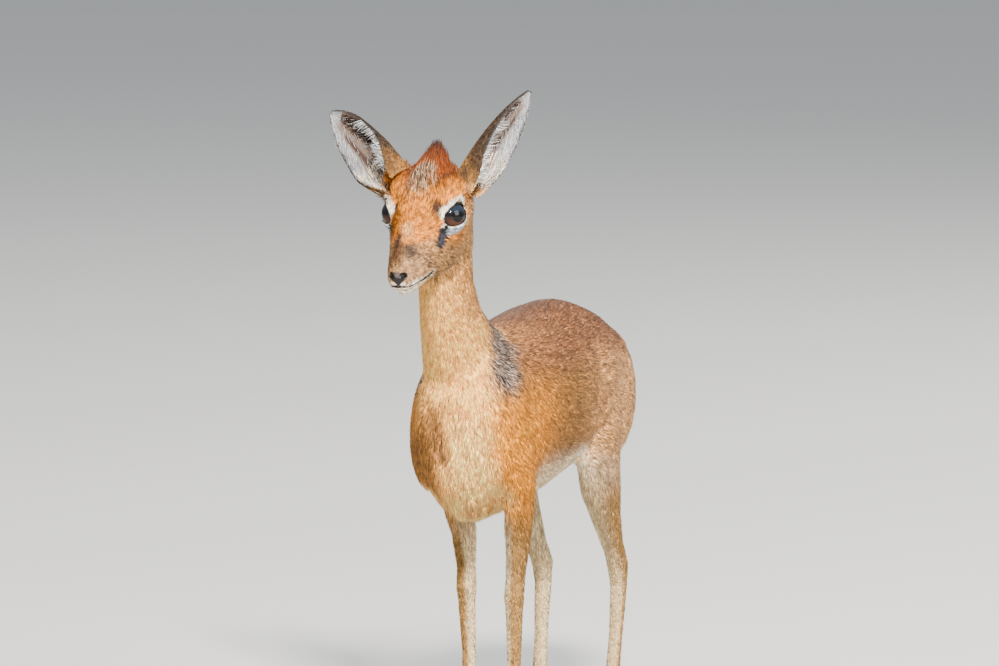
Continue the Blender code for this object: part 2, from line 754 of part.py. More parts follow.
def head_nodes(cutters, group):
    """Head, jaw, nose, eyes, ears and crest."""
    skin = head_flesh(cutters)
    face = copy_of(skin, "face", cutters)
    shape_face(face)
    thin_out(skin, HEAD_TRIANGLES)
    thin_out(face, HEAD_TRIANGLES)
    nodes = {"crest": crest(skin, cutters, group)}
    for side in ("left", "right"):
        nodes["ear_" + side] = ear(side, skin, cutters, group)
    remove([skin])
    crown = beyond(head_point(CREST_CUT_AT), head_way(CREST_CUT_WAY), cutters)
    throat = beyond(head_point(NECK_CUT_AT), head_way(NECK_CUT_WAY), cutters)
    cut_or_join(face, [crown, throat], "DIFFERENCE")
    keep_surface(face)
    nodes.update(set_eyes(face, cutters, group))
    nodes["nose"] = nose_pad(face, cutters, group)
    cuts = [profile_cut(ends, cutters) for ends in (MOUTH_CUT, JAW_END_CUT)]
    cut_or_join(face, cuts, "DIFFERENCE")
    names = {"head": head_point((0.0, 0.0, 0.0)), "jaw": head_point((0.0, 0.035, -0.059))}
    nodes.update(part_into(face, names, group))
    return nodes


def tail(rump, cutters, group):
    """The short tail, trimmed to the buttocks that it hangs over."""
    thing = limb("tail", TAIL_SECTIONS, group, 12)
    cut_or_join(thing, [swollen(rump, cutters)], "DIFFERENCE")
    keep_surface(thing)
    return thing


def stand_on_origin(nodes):
    """Moves the whole model so that the middle of its box stands on the origin."""
    corners = [vertex.co for thing in nodes.values() for vertex in thing.data.vertices]
    lows = [min(corner[axis] for corner in corners) for axis in range(3)]
    highs = [max(corner[axis] for corner in corners) for axis in range(3)]
    shift = Vector((-(lows[0] + highs[0]) / 2.0, -(lows[1] + highs[1]) / 2.0, -lows[2]))
    for thing in nodes.values():
        thing.data.transform(Matrix.Translation(shift))


def colour_of(name):
    if name.startswith("eye") or "hoof" in name or name == "nose":
        return BLACK_HORN
    if name == "crest":
        return RUFOUS
    if name in ("barrel", "hindquarters"):
        return GRIZZLED
    if name == "jaw":
        return CREAM
    return TAN


def main():
    empty_scene()
    group = new_collection("dik_dik")
    cutters = new_collection("cutters")
    nodes = body_nodes(cutters, group)
    nodes.update(head_nodes(cutters, group))
    nodes["tail"] = tail(nodes["hindquarters"], cutters, group)
    nodes.update(hooves(group))
    stand_on_origin(nodes)
    for name, thing in nodes.items():
        glossy = name.startswith("eye") or name == "nose"
        paint(thing, colour_of(name), 0.15 if glossy else 0.85)
        thing.data.shade_smooth()


main()
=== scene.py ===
# %% [markdown]
# A dik dik for a museum hall
# This notebook dresses the solid model of a female dik dik, a small antelope no taller at the
# shoulder than a man's knee. The solids give her shape and size. What follows gives her one smooth
# skin, a short coat of modelled tufts, dark wet eyes, a bare nose, horn on her toes and the crest of
# stiff hair between her ears.

# %% Load the solid model
import math

import bpy
import numpy as np
from mathutils import Matrix, Vector
from mathutils.kdtree import KDTree


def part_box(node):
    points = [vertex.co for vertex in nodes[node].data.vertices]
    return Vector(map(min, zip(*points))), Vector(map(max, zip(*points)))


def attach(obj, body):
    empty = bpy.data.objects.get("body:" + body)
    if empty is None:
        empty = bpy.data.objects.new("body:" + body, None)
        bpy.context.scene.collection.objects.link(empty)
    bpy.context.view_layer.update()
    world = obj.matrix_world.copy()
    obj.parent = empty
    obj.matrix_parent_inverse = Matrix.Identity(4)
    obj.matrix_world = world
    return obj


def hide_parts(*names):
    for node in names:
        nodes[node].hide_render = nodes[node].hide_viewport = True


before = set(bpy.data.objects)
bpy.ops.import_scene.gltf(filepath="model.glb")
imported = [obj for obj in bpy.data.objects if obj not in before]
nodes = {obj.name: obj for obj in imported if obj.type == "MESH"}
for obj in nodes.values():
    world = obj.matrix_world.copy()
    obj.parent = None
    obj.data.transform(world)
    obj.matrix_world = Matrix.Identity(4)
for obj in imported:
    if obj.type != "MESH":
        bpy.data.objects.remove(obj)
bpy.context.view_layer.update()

# %% [markdown]
# Two sets of axes keep the numbers readable. The body's own places are measured as x to her left,
# y towards her tail and z up, with y = 0 over the middle of her trunk. The head's are side, forward
# and up from the point between her eyes. Both hang on the two eyeballs of the solid model, so they
# move with it if it is built again.

# %% Measures of head and body
HEAD_IN_BODY = Vector((-0.0095, -0.203, 0.473))
EYE_DROP = 0.002
EYE_RADIUS = 0.0122
UP = Vector((0.0, 0.0, 1.0))


def middle_of(node):
    low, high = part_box(node)
    return (low + high) / 2.0


eye_middle = {side: middle_of("eye_" + side) for side in ("left", "right")}
side_way = (eye_middle["left"] - eye_middle["right"]).normalized()
forward_way = side_way.cross(UP)
head_middle = (eye_middle["left"] + eye_middle["right"]) / 2.0 + UP * EYE_DROP
HEAD_AXES = np.array([side_way, forward_way, UP])


def head_way(side, forward, up):
    """A direction of the head, as one in the room."""
    return side_way * side + forward_way * forward + UP * up


def head_point(side, forward, up):
    return head_middle + head_way(side, forward, up)


def body_point(x, y, z):
    return head_middle - HEAD_IN_BODY + Vector((x, y, z))


def in_head(points):
    """Points of the room as side, forward and up from the middle of the head."""
    return (points - np.array(head_middle)) @ HEAD_AXES.T


def in_body(points):
    return points - np.array(head_middle - HEAD_IN_BODY)


print("the head's middle lies at", [round(x, 4) for x in head_middle])

# %% [markdown]
# The camera stands eight metres off with a long lens, a little above her back, and looks at her
# from the left of her face. The distance keeps her proportions as a hunter's long lens would. The
# picture is 999 by 666 points, of which 1230 make a metre at her shoulder.

# %% Camera
AZIMUTH = math.radians(20.0)
ELEVATION = math.radians(6.0)
DISTANCE = 8.0
POINTS_PER_METRE = 1230.0
PICTURE_WIDTH = 999.0
SENSOR = 36.0
# Where a point 360 mm above the floor, under the middle of her trunk, lies from the picture's middle
AIM_RIGHT = -21.1 / POINTS_PER_METRE
AIM_UP = 0.360 - 8.0 / POINTS_PER_METRE
WITHERS = Vector((0.0, -0.10, 0.372))

camera_right = Vector((math.cos(AZIMUTH), math.sin(AZIMUTH), 0.0))
camera_back = Vector((
    math.sin(AZIMUTH) * math.cos(ELEVATION),
    -math.cos(AZIMUTH) * math.cos(ELEVATION),
    math.sin(ELEVATION),
))
camera_up = camera_back.cross(camera_right)
aim = camera_right * AIM_RIGHT + camera_up * AIM_UP + camera_back * camera_back.dot(WITHERS)
aim += body_point(0.0, 0.0, 0.0)

lens = bpy.data.cameras.new("long_lens")
lens.sensor_width = SENSOR
lens.lens = SENSOR * DISTANCE * POINTS_PER_METRE / PICTURE_WIDTH
lens.clip_end = 100.0
camera = bpy.data.objects.new("camera", lens)
camera.location = aim + camera_back * DISTANCE
camera.rotation_euler = camera_back.to_track_quat("Z", "Y").to_euler()
bpy.context.scene.collection.objects.link(camera)
bpy.context.scene.camera = camera
print("lens of", round(lens.lens), "mm")

# %% [markdown]
# A studio for a brown animal wants a pale floor and one soft light high in front and to the right,
# whose shadow of the head falls on the throat. A wide weaker one from the right opens the flank, one
# behind lights the edges of the coat, and a pale sky fills the shadows.

# %% Floor and lights


def select_only(*things):
    """Selects these objects and nothing else, and makes the first one active."""
    bpy.ops.object.select_all(action="DESELECT")
    for thing in things:
        thing.select_set(True)
    bpy.context.view_layer.objects.active = things[0]


bpy.ops.object.select_all(action="DESELECT")
bpy.ops.mesh.primitive_plane_add(size=60.0, location=(0.0, 0.0, 0.0))
floor = bpy.context.object
floor.name = "studio_floor"


LIGHTS_AIM = 0.3


def soft_light(name, place, size, watts, colour):
    lamp = bpy.data.lights.new(name, "AREA")
    lamp.size = size
    lamp.energy = watts
    lamp.color = colour
    thing = bpy.data.objects.new(name, lamp)
    thing.location = place
    towards = Vector(place) - UP * LIGHTS_AIM
    thing.rotation_euler = towards.to_track_quat("Z", "Y").to_euler()
    bpy.context.scene.collection.objects.link(thing)


soft_light("key_light", (1.80, -3.90, 2.95), 0.5, 960.0, (1.0, 0.95, 0.87))
soft_light("fill_light", (3.6, -1.0, 1.7), 2.2, 300.0, (1.0, 0.98, 0.95))
soft_light("edge_light", (0.8, 3.4, 3.0), 1.6, 150.0, (1.0, 0.98, 0.94))
sky = bpy.data.worlds.new("studio")
sky.use_nodes = True
sky.node_tree.nodes["Background"].inputs["Color"].default_value = (0.86, 0.92, 1.0, 1.0)
sky.node_tree.nodes["Background"].inputs["Strength"].default_value = 0.50
bpy.context.scene.world = sky
print("three lights and a sky")

# %% [markdown]
# Materials are sums of masks and patterns. Writing them as plain sums in Python keeps them short, so
# a small class stands for one socket of a node tree: adding, taking away or multiplying two of
# them adds the Math node that does it. Every other node comes from one method of the class Finish.

# %% A short way to write materials


class Wire:
    """One output of a node, which sums like a number."""

    def __init__(self, finish, socket):
        self.finish = finish
        self.socket = socket

    def sum(self, operation, first, second):
        return self.finish.node("ShaderNodeMath", {"operation": operation}, {0: first, 1: second})

    def __add__(self, other):
        return self.sum("ADD", self, other)

    def __sub__(self, other):
        return self.sum("SUBTRACT", self, other)

    def __rsub__(self, other):
        return self.sum("SUBTRACT", other, self)

    def __mul__(self, other):
        return self.sum("MULTIPLY", self, other)

    __radd__ = __add__
    __rmul__ = __mul__


class Finish:
    """A new material, its shader and a method that adds any node."""

    def __init__(self, name, **constants):
        self.material = bpy.data.materials.new(name)
        self.material.use_nodes = True
        self.tree = self.material.node_tree
        self.shader = self.tree.nodes["Principled BSDF"]
        for socket, value in constants.items():
            self.shader.inputs[socket.replace("_", " ")].default_value = value

    def node(self, kind, settings, sockets, output=0):
        new = self.tree.nodes.new(kind)
        for name, value in settings.items():
            setattr(new, name, value)
        for name, value in sockets.items():
            self.feed(new.inputs[name], value)
        return Wire(self, new.outputs[output])

    def feed(self, socket, value):
        if isinstance(value, Wire):
            self.tree.links.new(value.socket, socket)
        else:
            socket.default_value = value

    def drive(self, name, value):
        """Links a socket of the shader."""
        self.feed(self.shader.inputs[name], value)

    def place(self):
        return self.node("ShaderNodeTexCoord", {}, {}, "Object")

    def noise(self, scale, detail=2.0):
        sockets = {"Vector": self.place(), "Scale": scale, "Detail": detail}
        return self.node("ShaderNodeTexNoise", {}, sockets, "Fac")

    def mask(self, value, start, stop):
        """Goes smoothly from 0 at start to 1 at stop."""
        settings = {"interpolation_type": "SMOOTHSTEP"}
        sockets = {"Value": value, "From Min": start, "From Max": stop}
        return self.node("ShaderNodeMapRange", settings, sockets)

    def mix(self, share, first, second):
        """A colour that goes from the first to the second as share goes from 0 to 1."""
        return self.node("ShaderNodeMix", {"data_type": "RGBA"}, {0: share, 6: first, 7: second}, 2)

    def tint(self, colour, amount):
        """A colour made lighter or darker by an amount near 1."""
        return self.node("ShaderNodeVectorMath", {"operation": "SCALE"}, {0: colour, "Scale": amount})

    def bump(self, height, strength, distance):
        sockets = {"Height": height, "Strength": strength, "Distance": distance}
        self.drive("Normal", self.node("ShaderNodeBump", {}, sockets))


ground = Finish("pale_floor", Roughness=0.85)
ground.drive("Base Color", ground.mix(ground.noise(0.6), (0.62, 0.62, 0.60, 1.0), (0.66, 0.66, 0.65, 1.0)))
floor.data.materials.append(ground.material)
print("the floor is painted")

# %% [markdown]
# The coat's colours are those of the live animal in daylight: a rufous crown and crest, an orange
# face, a tan neck and shoulder, a grizzled brown back, and cream to white on breast, belly, groin and
# round the eyes. They are mixed once here, and skin and tufts both take them from the same places.

# %% Colours of the coat
RUFOUS = (0.200, 0.039, 0.002)
RUFOUS_TIP = (0.022, 0.012, 0.009)
FACE_ORANGE = (0.480, 0.152, 0.013)
FACE_PALE = (0.500, 0.250, 0.098)
DARK_SPOT = (0.030, 0.021, 0.018)
MUZZLE_TOP = (0.095, 0.042, 0.016)
MUZZLE_SIDE = (0.320, 0.172, 0.078)
FOREHEAD_GREY = (0.420, 0.240, 0.140)
CHEEK = (0.310, 0.165, 0.060)
WHITE_HAIR = (0.820, 0.680, 0.520)
# painted shade: the pale hair below each eye, painted bluish grey as it looks in shade under a blue sky
PALE_HAIR_IN_PAINTED_SKY_SHADE = (0.430, 0.500, 0.555)
CREAM = (0.940, 0.480, 0.148)
NECK_TAN = (0.940, 0.412, 0.108)
SHOULDER_TAN = (0.610, 0.208, 0.008)
FLANK_TAN = (0.250, 0.108, 0.023)
BACK_BROWN = (0.215, 0.082, 0.033)
RUMP_TAN = (0.600, 0.300, 0.118)
NAPE_GREY = (0.225, 0.162, 0.128)
LEG_TAN = (0.280, 0.150, 0.044)
LEG_PALE = (0.520, 0.385, 0.215)
NAPE_TAN = (0.340, 0.190, 0.070)
EAR_BROWN = (0.072, 0.038, 0.016)
EAR_EDGE = (0.024, 0.018, 0.015)
EAR_SKIN = (0.170, 0.115, 0.090)
EAR_DARK = (0.040, 0.020, 0.013)
EAR_WHITE = (0.335, 0.340, 0.350)
NOSE_DARK = (0.011, 0.009, 0.009)
GLAND_GREY = (0.014, 0.017, 0.026)
BARE_BLACK = (0.006, 0.005, 0.005)
# painted highlight on the top of the wet nose pad
NOSE_PAINTED_HIGHLIGHT = (0.085, 0.058, 0.056)
print("the palette is mixed")

# %% [markdown]
# A marking is a place, its size along three axes and how soft its edge is. The edge is roughened by
# a little noise, because hair never ends on a line. The noise is worked out at any list of points,
# so that it is the same for the skin and for each tuft that grows there.

# %% Noise and soft masks


def smooth(value, start, stop):
    """Goes smoothly from 0 at start to 1 at stop, also where start is the larger."""
    share = np.clip((value - start) / (stop - start), 0.0, 1.0)
    return share * share * (3.0 - 2.0 * share)


def grain(points, size, seed=0):
    """Smooth noise from 0 to 1 whose spots are about as large as size."""
    cell = points / size
    base = np.floor(cell).astype(np.int64)
    part = cell - base
    part = part * part * (3.0 - 2.0 * part)
    total = np.zeros(len(points))
    for corner in np.ndindex(2, 2, 2):
        key = (base + corner) @ np.array([73856093, 19349663, 83492791]) + seed * 9176
        key = (key ^ (key >> 13)) * 1274126177
        value = ((key ^ (key >> 16)) & 0xFFFF) / 65535.0
        weight = np.prod(np.where(corner, part, 1.0 - part), axis=1)
        total += value * weight
    return total


def spot(points, centre, radii, soft=0.35, ragged=0.25):
    """1 inside an egg-shaped place and 0 outside it, with a ragged soft edge."""
    reach = np.linalg.norm((points - np.array(centre)) / np.array(radii), axis=1)
    reach += (grain(points, 0.0035) - 0.5) * ragged
    return smooth(reach, 1.0 + soft, 1.0 - soft)


def near_path(points, path):
    """How far each point is from a line through the points of a path."""
    nearest = np.full(len(points), 1.0)
    for start, stop in zip(path, path[1:]):
        start, along = np.array(start), np.array(stop) - np.array(start)
        share = np.clip((points - start) @ along / (along @ along), 0.0, 1.0)
        nearest = np.minimum(nearest, np.linalg.norm(points - start - share[:, None] * along, axis=1))
    return nearest


print("noise at the origin is", round(float(grain(np.zeros((1, 3)), 0.01)[0]), 3))

# %% [markdown]
# Each eye looks out and forward, and its opening is an almond with its outer corner turned up. Its
# own two axes, along the almond and across it, serve the lids, the lashes, the white ring and the
# dark line of tears alike. Each ear is a cup, measured by how far along it a point lies, how far
# across, and whether it is on the inside.

# %% Measures of the eyes and ears
EYE_LOOK = (0.86, 0.50, 0.06)
EYE_OPENING = (0.0126, 0.0078)
EYE_SLANT = math.radians(24.0)
# The outline of the open lids, from the outer corner round over the top: degrees, share
LIDS = [
    (0, 1.00), (22, 1.18), (50, 1.20), (75, 1.17), (99, 1.10), (137, 0.98), (167, 0.88),
    (197, 0.89), (216, 0.93), (238, 0.95), (266, 0.98), (300, 1.02), (330, 0.98), (360, 1.00),
]
EARS = {
    "left": ((0.0180, -0.027, 0.0235), (0.0735, -0.045, 0.0955), (1.0, 0.16, 0.0)),
    "right": ((-0.0220, -0.022, 0.0210), (-0.0970, -0.040, 0.0735), (-0.1, 1.0, -0.1)),
}
# Along an ear from root to tip: share of the length, radius of its cup, half its roll in degrees
EAR_CUP = [
    (0.00, 0.0112, 155.0), (0.15, 0.0138, 132.0), (0.35, 0.0178, 97.0), (0.55, 0.0198, 76.0),
    (0.75, 0.0190, 57.0), (0.90, 0.0140, 43.0), (1.00, 0.0040, 32.0),
]
EAR_WIDER = {"left": 0.0, "right": 0.32}
EAR_SAG = 0.004
FAR_OFF = 9.0


def sign_of(side):
    return 1.0 if side == "left" else -1.0


def eye_axes(side):
    """The way an eye looks, the way along its opening, and the way across it."""
    sign = sign_of(side)
    look = head_way(sign * EYE_LOOK[0], EYE_LOOK[1], EYE_LOOK[2]).normalized()
    along = UP.cross(look).normalized()
    along = Matrix.Rotation(EYE_SLANT * sign, 3, look) @ along
    return look, along, look.cross(along).normalized()


def ear_axes(side):
    """An ear's root, the way to its tip, the way it opens, the way across, and its length."""
    root, tip, opening = [Vector(place) for place in EARS[side]]
    root, tip, opening = head_point(*root), head_point(*tip), head_way(*opening)
    axis = (tip - root).normalized()
    opening = (opening - axis * opening.dot(axis)).normalized()
    return root, axis, opening, axis.cross(opening), (tip - root).length


def in_ear(points, side):
    """Share of the ear's length, place from one rim (-1) to the other (1), and where it is inside."""
    root, axis, opening, across, length = ear_axes(side)
    offset = points - np.array(root)
    share = offset @ np.array(axis) / length
    shares, radii, rolls = zip(*EAR_CUP)
    radius = np.interp(share, shares, radii) * (1.0 + EAR_WIDER[side] * np.clip(1.0 - share / 0.55, 0.0, 1.0))
    sideways = offset @ np.array(across)
    height = offset @ np.array(opening) + EAR_SAG * np.sin(math.pi * np.clip(share, 0.0, 1.0))
    edge = np.degrees(np.arctan2(sideways, radius - height)) / np.interp(share, shares, rolls)
    return share, edge, np.hypot(sideways, radius - height) < radius


def in_eye(points, side):
    """How far outward and upward a point lies in an eye's opening, and how many times as far from
    its middle as the edge of the lids."""
    look, along, across = [np.array(way) for way in eye_axes(side)]
    offset = points - np.array(eye_middle[side])
    outward = offset @ along * sign_of(side) / EYE_OPENING[0]
    upward = offset @ across / EYE_OPENING[1]
    turn = np.degrees(np.arctan2(upward, outward)) % 360.0
    reach = np.hypot(outward, upward) / np.interp(turn, *zip(*LIDS))
    return outward, upward, np.where(offset @ look > -0.001, reach, FAR_OFF)


print("the left ear is", round(ear_axes("left")[4] * 1000), "mm long")

# %% [markdown]
# The markings are painted in the order in which a painter would lay them: the ground colour of each
# part, then the large patches, then the small ones. One function gives the colour of any list of
# points and how grizzled the hair is there, which is the share of hairs that are much darker or
# paler than the rest.

# %% The markings
LIP_LINE = [
    (0.0, 0.0532, -0.0556),
    (0.0045, 0.0515, -0.0553),
    (0.0079, 0.0479, -0.0550),
    (0.0104, 0.0404, -0.0529),
    (0.0113, 0.0289, -0.0512),
    (0.0125, 0.0225, -0.0489),
    (0.0139, 0.0167, -0.0465),
]
# How high the line of the mouth lies, from its corner to its front: forward, up
MOUTH_HEIGHT = [(0.0167, -0.0465), (0.0289, -0.0512), (0.0404, -0.0529), (0.0532, -0.0556)]
NOSTRIL = [(0.0030, 0.0575, -0.0488), (0.0046, 0.0565, -0.0468), (0.0064, 0.0545, -0.0458)]
PHILTRUM = [(0.0, 0.0570, -0.0500), (0.0, 0.0532, -0.0556)]
TEAR_PIT = [(0.0210, 0.0135, -0.0155), (0.0200, 0.0162, -0.0222)]
TEAR_LINE = [(0.0240, 0.0100, -0.0085), (0.0221, 0.0122, -0.0145)]
NOSE_MIDDLE = (0.0, 0.0545, -0.0488)
NOSE_TOP = -0.0440
NOSE_FOOT = -0.0540
NOSE_HALF_WIDTH = [
    (-0.0555, 0.0006), (-0.0530, 0.0022), (-0.0500, 0.0056),
    (-0.0470, 0.0080), (-0.0448, 0.0074), (-0.0436, 0.0052),
]
EAR_HOLLOW = (-0.0262, -0.0125, 0.0262)
EAR_CORNER = (0.0365, -0.0220, 0.0159)
BREAST_CREASE = [
    (-0.014, -0.172, 0.305), (-0.006, -0.172, 0.281), (0.002, -0.160, 0.255), (0.010, -0.139, 0.229),
]
BREAST = [(0.017, -0.171, 0.282), (0.018, -0.167, 0.264), (0.018, -0.150, 0.232)]
GROIN = [(0.043, -0.015, 0.230), (0.046, 0.015, 0.238), (0.048, 0.036, 0.250)]
NAPE = [(0.012, -0.106, 0.373), (0.024, -0.120, 0.355), (0.033, -0.134, 0.337)]


def mirrored(places):
    """The same places with both sides of the animal laid on its left one."""
    return np.concatenate([abs(places[:, :1]), places[:, 1:]], axis=1)


class Paint:
    """Colours and grizzle of a list of points, painted over mask by mask."""

    def __init__(self, count, colour):
        self.colour = np.tile(np.array(colour), (count, 1))
        self.grizzle = np.full(count, 0.2)

    def over(self, mask, colour, grizzle=None):
        self.colour += (np.array(colour) - self.colour) * mask[:, None]
        if grizzle is not None:
            self.grizzle += (grizzle - self.grizzle) * mask


def paint_body(points, normals, part):
    """Trunk, neck, legs and tail. part says which node each point belongs to."""
    place = in_body(points)
    x, y, z = place.T
    up = normals[:, 2]
    paint = Paint(len(points), FLANK_TAN)
    paint.over(0.9 * smooth(y, -0.03, 0.12) * smooth(y, 0.210, 0.130), RUMP_TAN, 0.35)
    paint.over(smooth(up + (z - 0.33) * 6.0, 0.05, 0.75), BACK_BROWN, 0.5)
    paint.over(smooth(y, -0.03, -0.10) * smooth(z, 0.35, 0.30) * smooth(z, 0.195, 0.240), SHOULDER_TAN, 0.12)
    paint.over(smooth(y, -0.115, -0.150) * smooth(abs(x), 0.040, 0.024), NECK_TAN, 0.1)
    paint.over(part["neck"], NECK_TAN, 0.12)
    paint.over(part["neck"] * smooth(normals[:, 1], -0.15, 0.55), NAPE_TAN, 0.6)
    paint.over(part["neck"] * smooth(z, 0.37, 0.40) * smooth(abs(x + 0.01), 0.016, 0.024), CHEEK, 0.15)
    for sign in (1.0, -1.0):
        reach = near_path(place * (sign, 1.0, 1.0), NAPE) + (grain(points, 0.004, 2) - 0.5) * 0.012
        paint.over(smooth(reach, 0.024, 0.008), NAPE_GREY, 1.4)
    shaded = smooth(x, 0.000, -0.020) * smooth(y, -0.110, -0.130) * smooth(z, 0.335, 0.285)
    paint.over(shaded, FLANK_TAN, 0.2)
    breast = near_path(place, BREAST)
    paint.over(smooth(breast + (grain(points, 0.006, 4) - 0.5) * 0.012, 0.030, 0.006), CREAM, 0.05)
    below = smooth(z, 0.280, 0.250) * smooth(abs(x), 0.055, 0.046)
    paint.over(smooth(up, -0.25, -0.75) * below * smooth(y, -0.075, -0.050), WHITE_HAIR, 0.05)
    paint.over(smooth(up, -0.4, -0.9) * below, CREAM, 0.05)
    groin = near_path(mirrored(place), GROIN)
    paint.over(smooth(groin + (grain(points, 0.004, 5) - 0.5) * 0.012, 0.016, 0.004), WHITE_HAIR, 0.05)
    paint.over(spot(place, (0.0, 0.085, 0.235), (0.050, 0.055, 0.024), 0.5), WHITE_HAIR, 0.0)
    # painted shade: a dark line, in the muzzle's brown, along the crease of the breast
    paint.over(0.8 * smooth(near_path(place, BREAST_CREASE), 0.011, 0.001), MUZZLE_TOP, 0.3)
    inner = smooth(-normals[:, 0] * np.sign(x), -0.1, 0.6)
    front = smooth(-normals[:, 1], 0.0, 0.8)
    for leg in ("foreleg", "hindleg"):
        paint.over(part[leg], LEG_TAN, 0.1)
    paint.over(part["foreleg"] * inner, LEG_PALE, 0.05)
    paint.over(part["hindleg"] * np.maximum(inner, front * 0.8), LEG_PALE, 0.05)
    paint.over(part["tail"] * smooth(up, -0.1, -0.7), WHITE_HAIR, 0.0)
    return paint


def nose_mask(points):
    """1 on the bare pad, which is wide at the nostrils and narrow at the lip."""
    side, forward, up = in_head(points).T
    half = np.interp(up, *zip(*NOSE_HALF_WIDTH))
    mask = smooth(abs(side - 0.0006) - half, 0.0005, -0.0003)
    mask *= smooth(up, NOSE_TOP + 0.0007, NOSE_TOP - 0.0003) * smooth(up, NOSE_FOOT - 0.001, NOSE_FOOT)
    return mask * smooth(forward, 0.0485, 0.0495)


def paint_head(points, paint, on_head):
    """The face, laid over what the body's paint gave."""
    place = in_head(points)
    side, forward, up = place.T
    both = mirrored(place)
    face = Paint(len(points), FACE_ORANGE)
    face.over(smooth(forward, 0.0, -0.03) * smooth(up, 0.03, 0.0), CHEEK, 0.3)
    face.over(smooth(up, -0.014, -0.034), CHEEK, 0.3)
    face.over(spot(both, (0.010, 0.040, -0.040), (0.012, 0.020, 0.016), 0.4), MUZZLE_SIDE, 0.4)
    face.over(0.8 * spot(both, (0.0190, 0.0210, -0.0255), (0.0100, 0.0120, 0.0070), 0.7, 0.6), FACE_PALE, 0.4)
    face.over(spot(place, (-0.002, 0.0500, -0.0300), (0.0050, 0.0080, 0.0125), 0.6, 0.5), MUZZLE_TOP, 0.5)
    face.over(spot(place, (0.0, -0.014, 0.040), (0.036, 0.032, 0.026), 0.45), RUFOUS, 0.3)
    patch_long = (forward - 0.0020) * -0.55 + (up - 0.0275) * 0.84
    reach = np.hypot((side + 0.0012) / 0.0150, patch_long / 0.0215) + (grain(points, 0.003, 3) - 0.5) * 0.8
    face.over(smooth(reach, 1.20, 0.30), FOREHEAD_GREY, 1.5)
    # painted highlight: a paler spot on the bridge of the nose
    face.over(0.8 * spot(place, (0.001, 0.0375, -0.0125), (0.0050, 0.0080, 0.0070), 0.7, 0.6), FACE_PALE, 0.1)
    far = spot(place, (-0.0042, 0.0415, -0.0190), (0.0036, 0.0050, 0.0080), 0.6, 0.8)
    near = spot(place, (0.0076, 0.0445, -0.0275), (0.0058, 0.0060, 0.0064), 0.6, 0.8)
    face.over(0.85 * np.maximum(far, near), DARK_SPOT, 0.8)
    brow = np.maximum(
        spot(place, (0.0170, 0.0143, 0.0030), (0.0052, 0.0050, 0.0066), 0.5, 0.8),
        spot(place, (-0.0197, 0.0136, 0.0011), (0.0046, 0.0046, 0.0056), 0.5, 0.8),
    )
    face.over(0.9 * brow, DARK_SPOT, 0.8)
    face.over(0.7 * spot(both, (0.0125, 0.0290, -0.0460), (0.0060, 0.0130, 0.0050), 0.6, 0.5), FACE_PALE, 0.4)
    lips = near_path(both, LIP_LINE)
    under = smooth(up - np.interp(forward, *zip(*MOUTH_HEIGHT)), 0.0010, -0.0010)
    face.over(0.7 * under * smooth(forward, 0.010, 0.026), CREAM, 0.3)
    face.over(0.8 * under * smooth(forward, 0.026, 0.040), WHITE_HAIR, 0.2)
    face.over(0.75 * smooth(lips + (grain(points, 0.002, 8) - 0.5) * 0.003, 0.0052, 0.0016), WHITE_HAIR, 0.3)
    thick = 0.0010 + 0.0010 * smooth(forward, 0.034, 0.022)
    face.over(smooth(lips - thick, 0.0006, 0.0), BARE_BLACK, 0.0)
    for eye_side in ("left", "right"):
        outward, upward, reach = in_eye(points, eye_side)
        rough = reach + (grain(points, 0.0016, 6) - 0.5) * 0.22
        wide = 1.13 + 0.06 * smooth(outward, 0.5, -0.5) + 0.14 * smooth(upward, 0.2, 0.9)
        wide += 0.58 * smooth(upward, 0.0, -0.7)
        face.over(smooth(rough - wide, 0.12, -0.10), WHITE_HAIR, 0.15)
        # painted shade: below each eye the white hair is painted bluish grey, the colour of skylit shade
        painted_sky_shade = smooth(rough, 1.95, 1.6) * smooth(upward, -0.4, -0.9) * smooth(rough, 1.0, 1.2)
        face.over(painted_sky_shade, PALE_HAIR_IN_PAINTED_SKY_SHADE, 0.3)
        face.over(smooth(reach, 1.09, 1.04), BARE_BLACK, 0.0)
    pit = near_path(both, TEAR_PIT) + (grain(points, 0.0015) - 0.5) * 0.0014
    face.over(smooth(pit, 0.0060, 0.0042), GLAND_GREY, 0.3)
    face.over(smooth(near_path(both, TEAR_LINE), 0.0024, 0.0014), BARE_BLACK, 0.0)
    face.over(nose_mask(points), NOSE_DARK, 0.0)
    face.over(smooth(near_path(both, NOSTRIL), 0.0030, 0.0020), BARE_BLACK, 0.0)
    # painted highlight: a pinkish grey spot on top of the nose pad, between the nostrils
    face.over(spot(place, (0.0006, 0.0560, -0.0459), (0.0022, 0.0050, 0.0021), 0.5, 0.2), NOSE_PAINTED_HIGHLIGHT, 0.0)
    paint.over(on_head, face.colour)
    paint.grizzle += (face.grizzle - paint.grizzle) * on_head


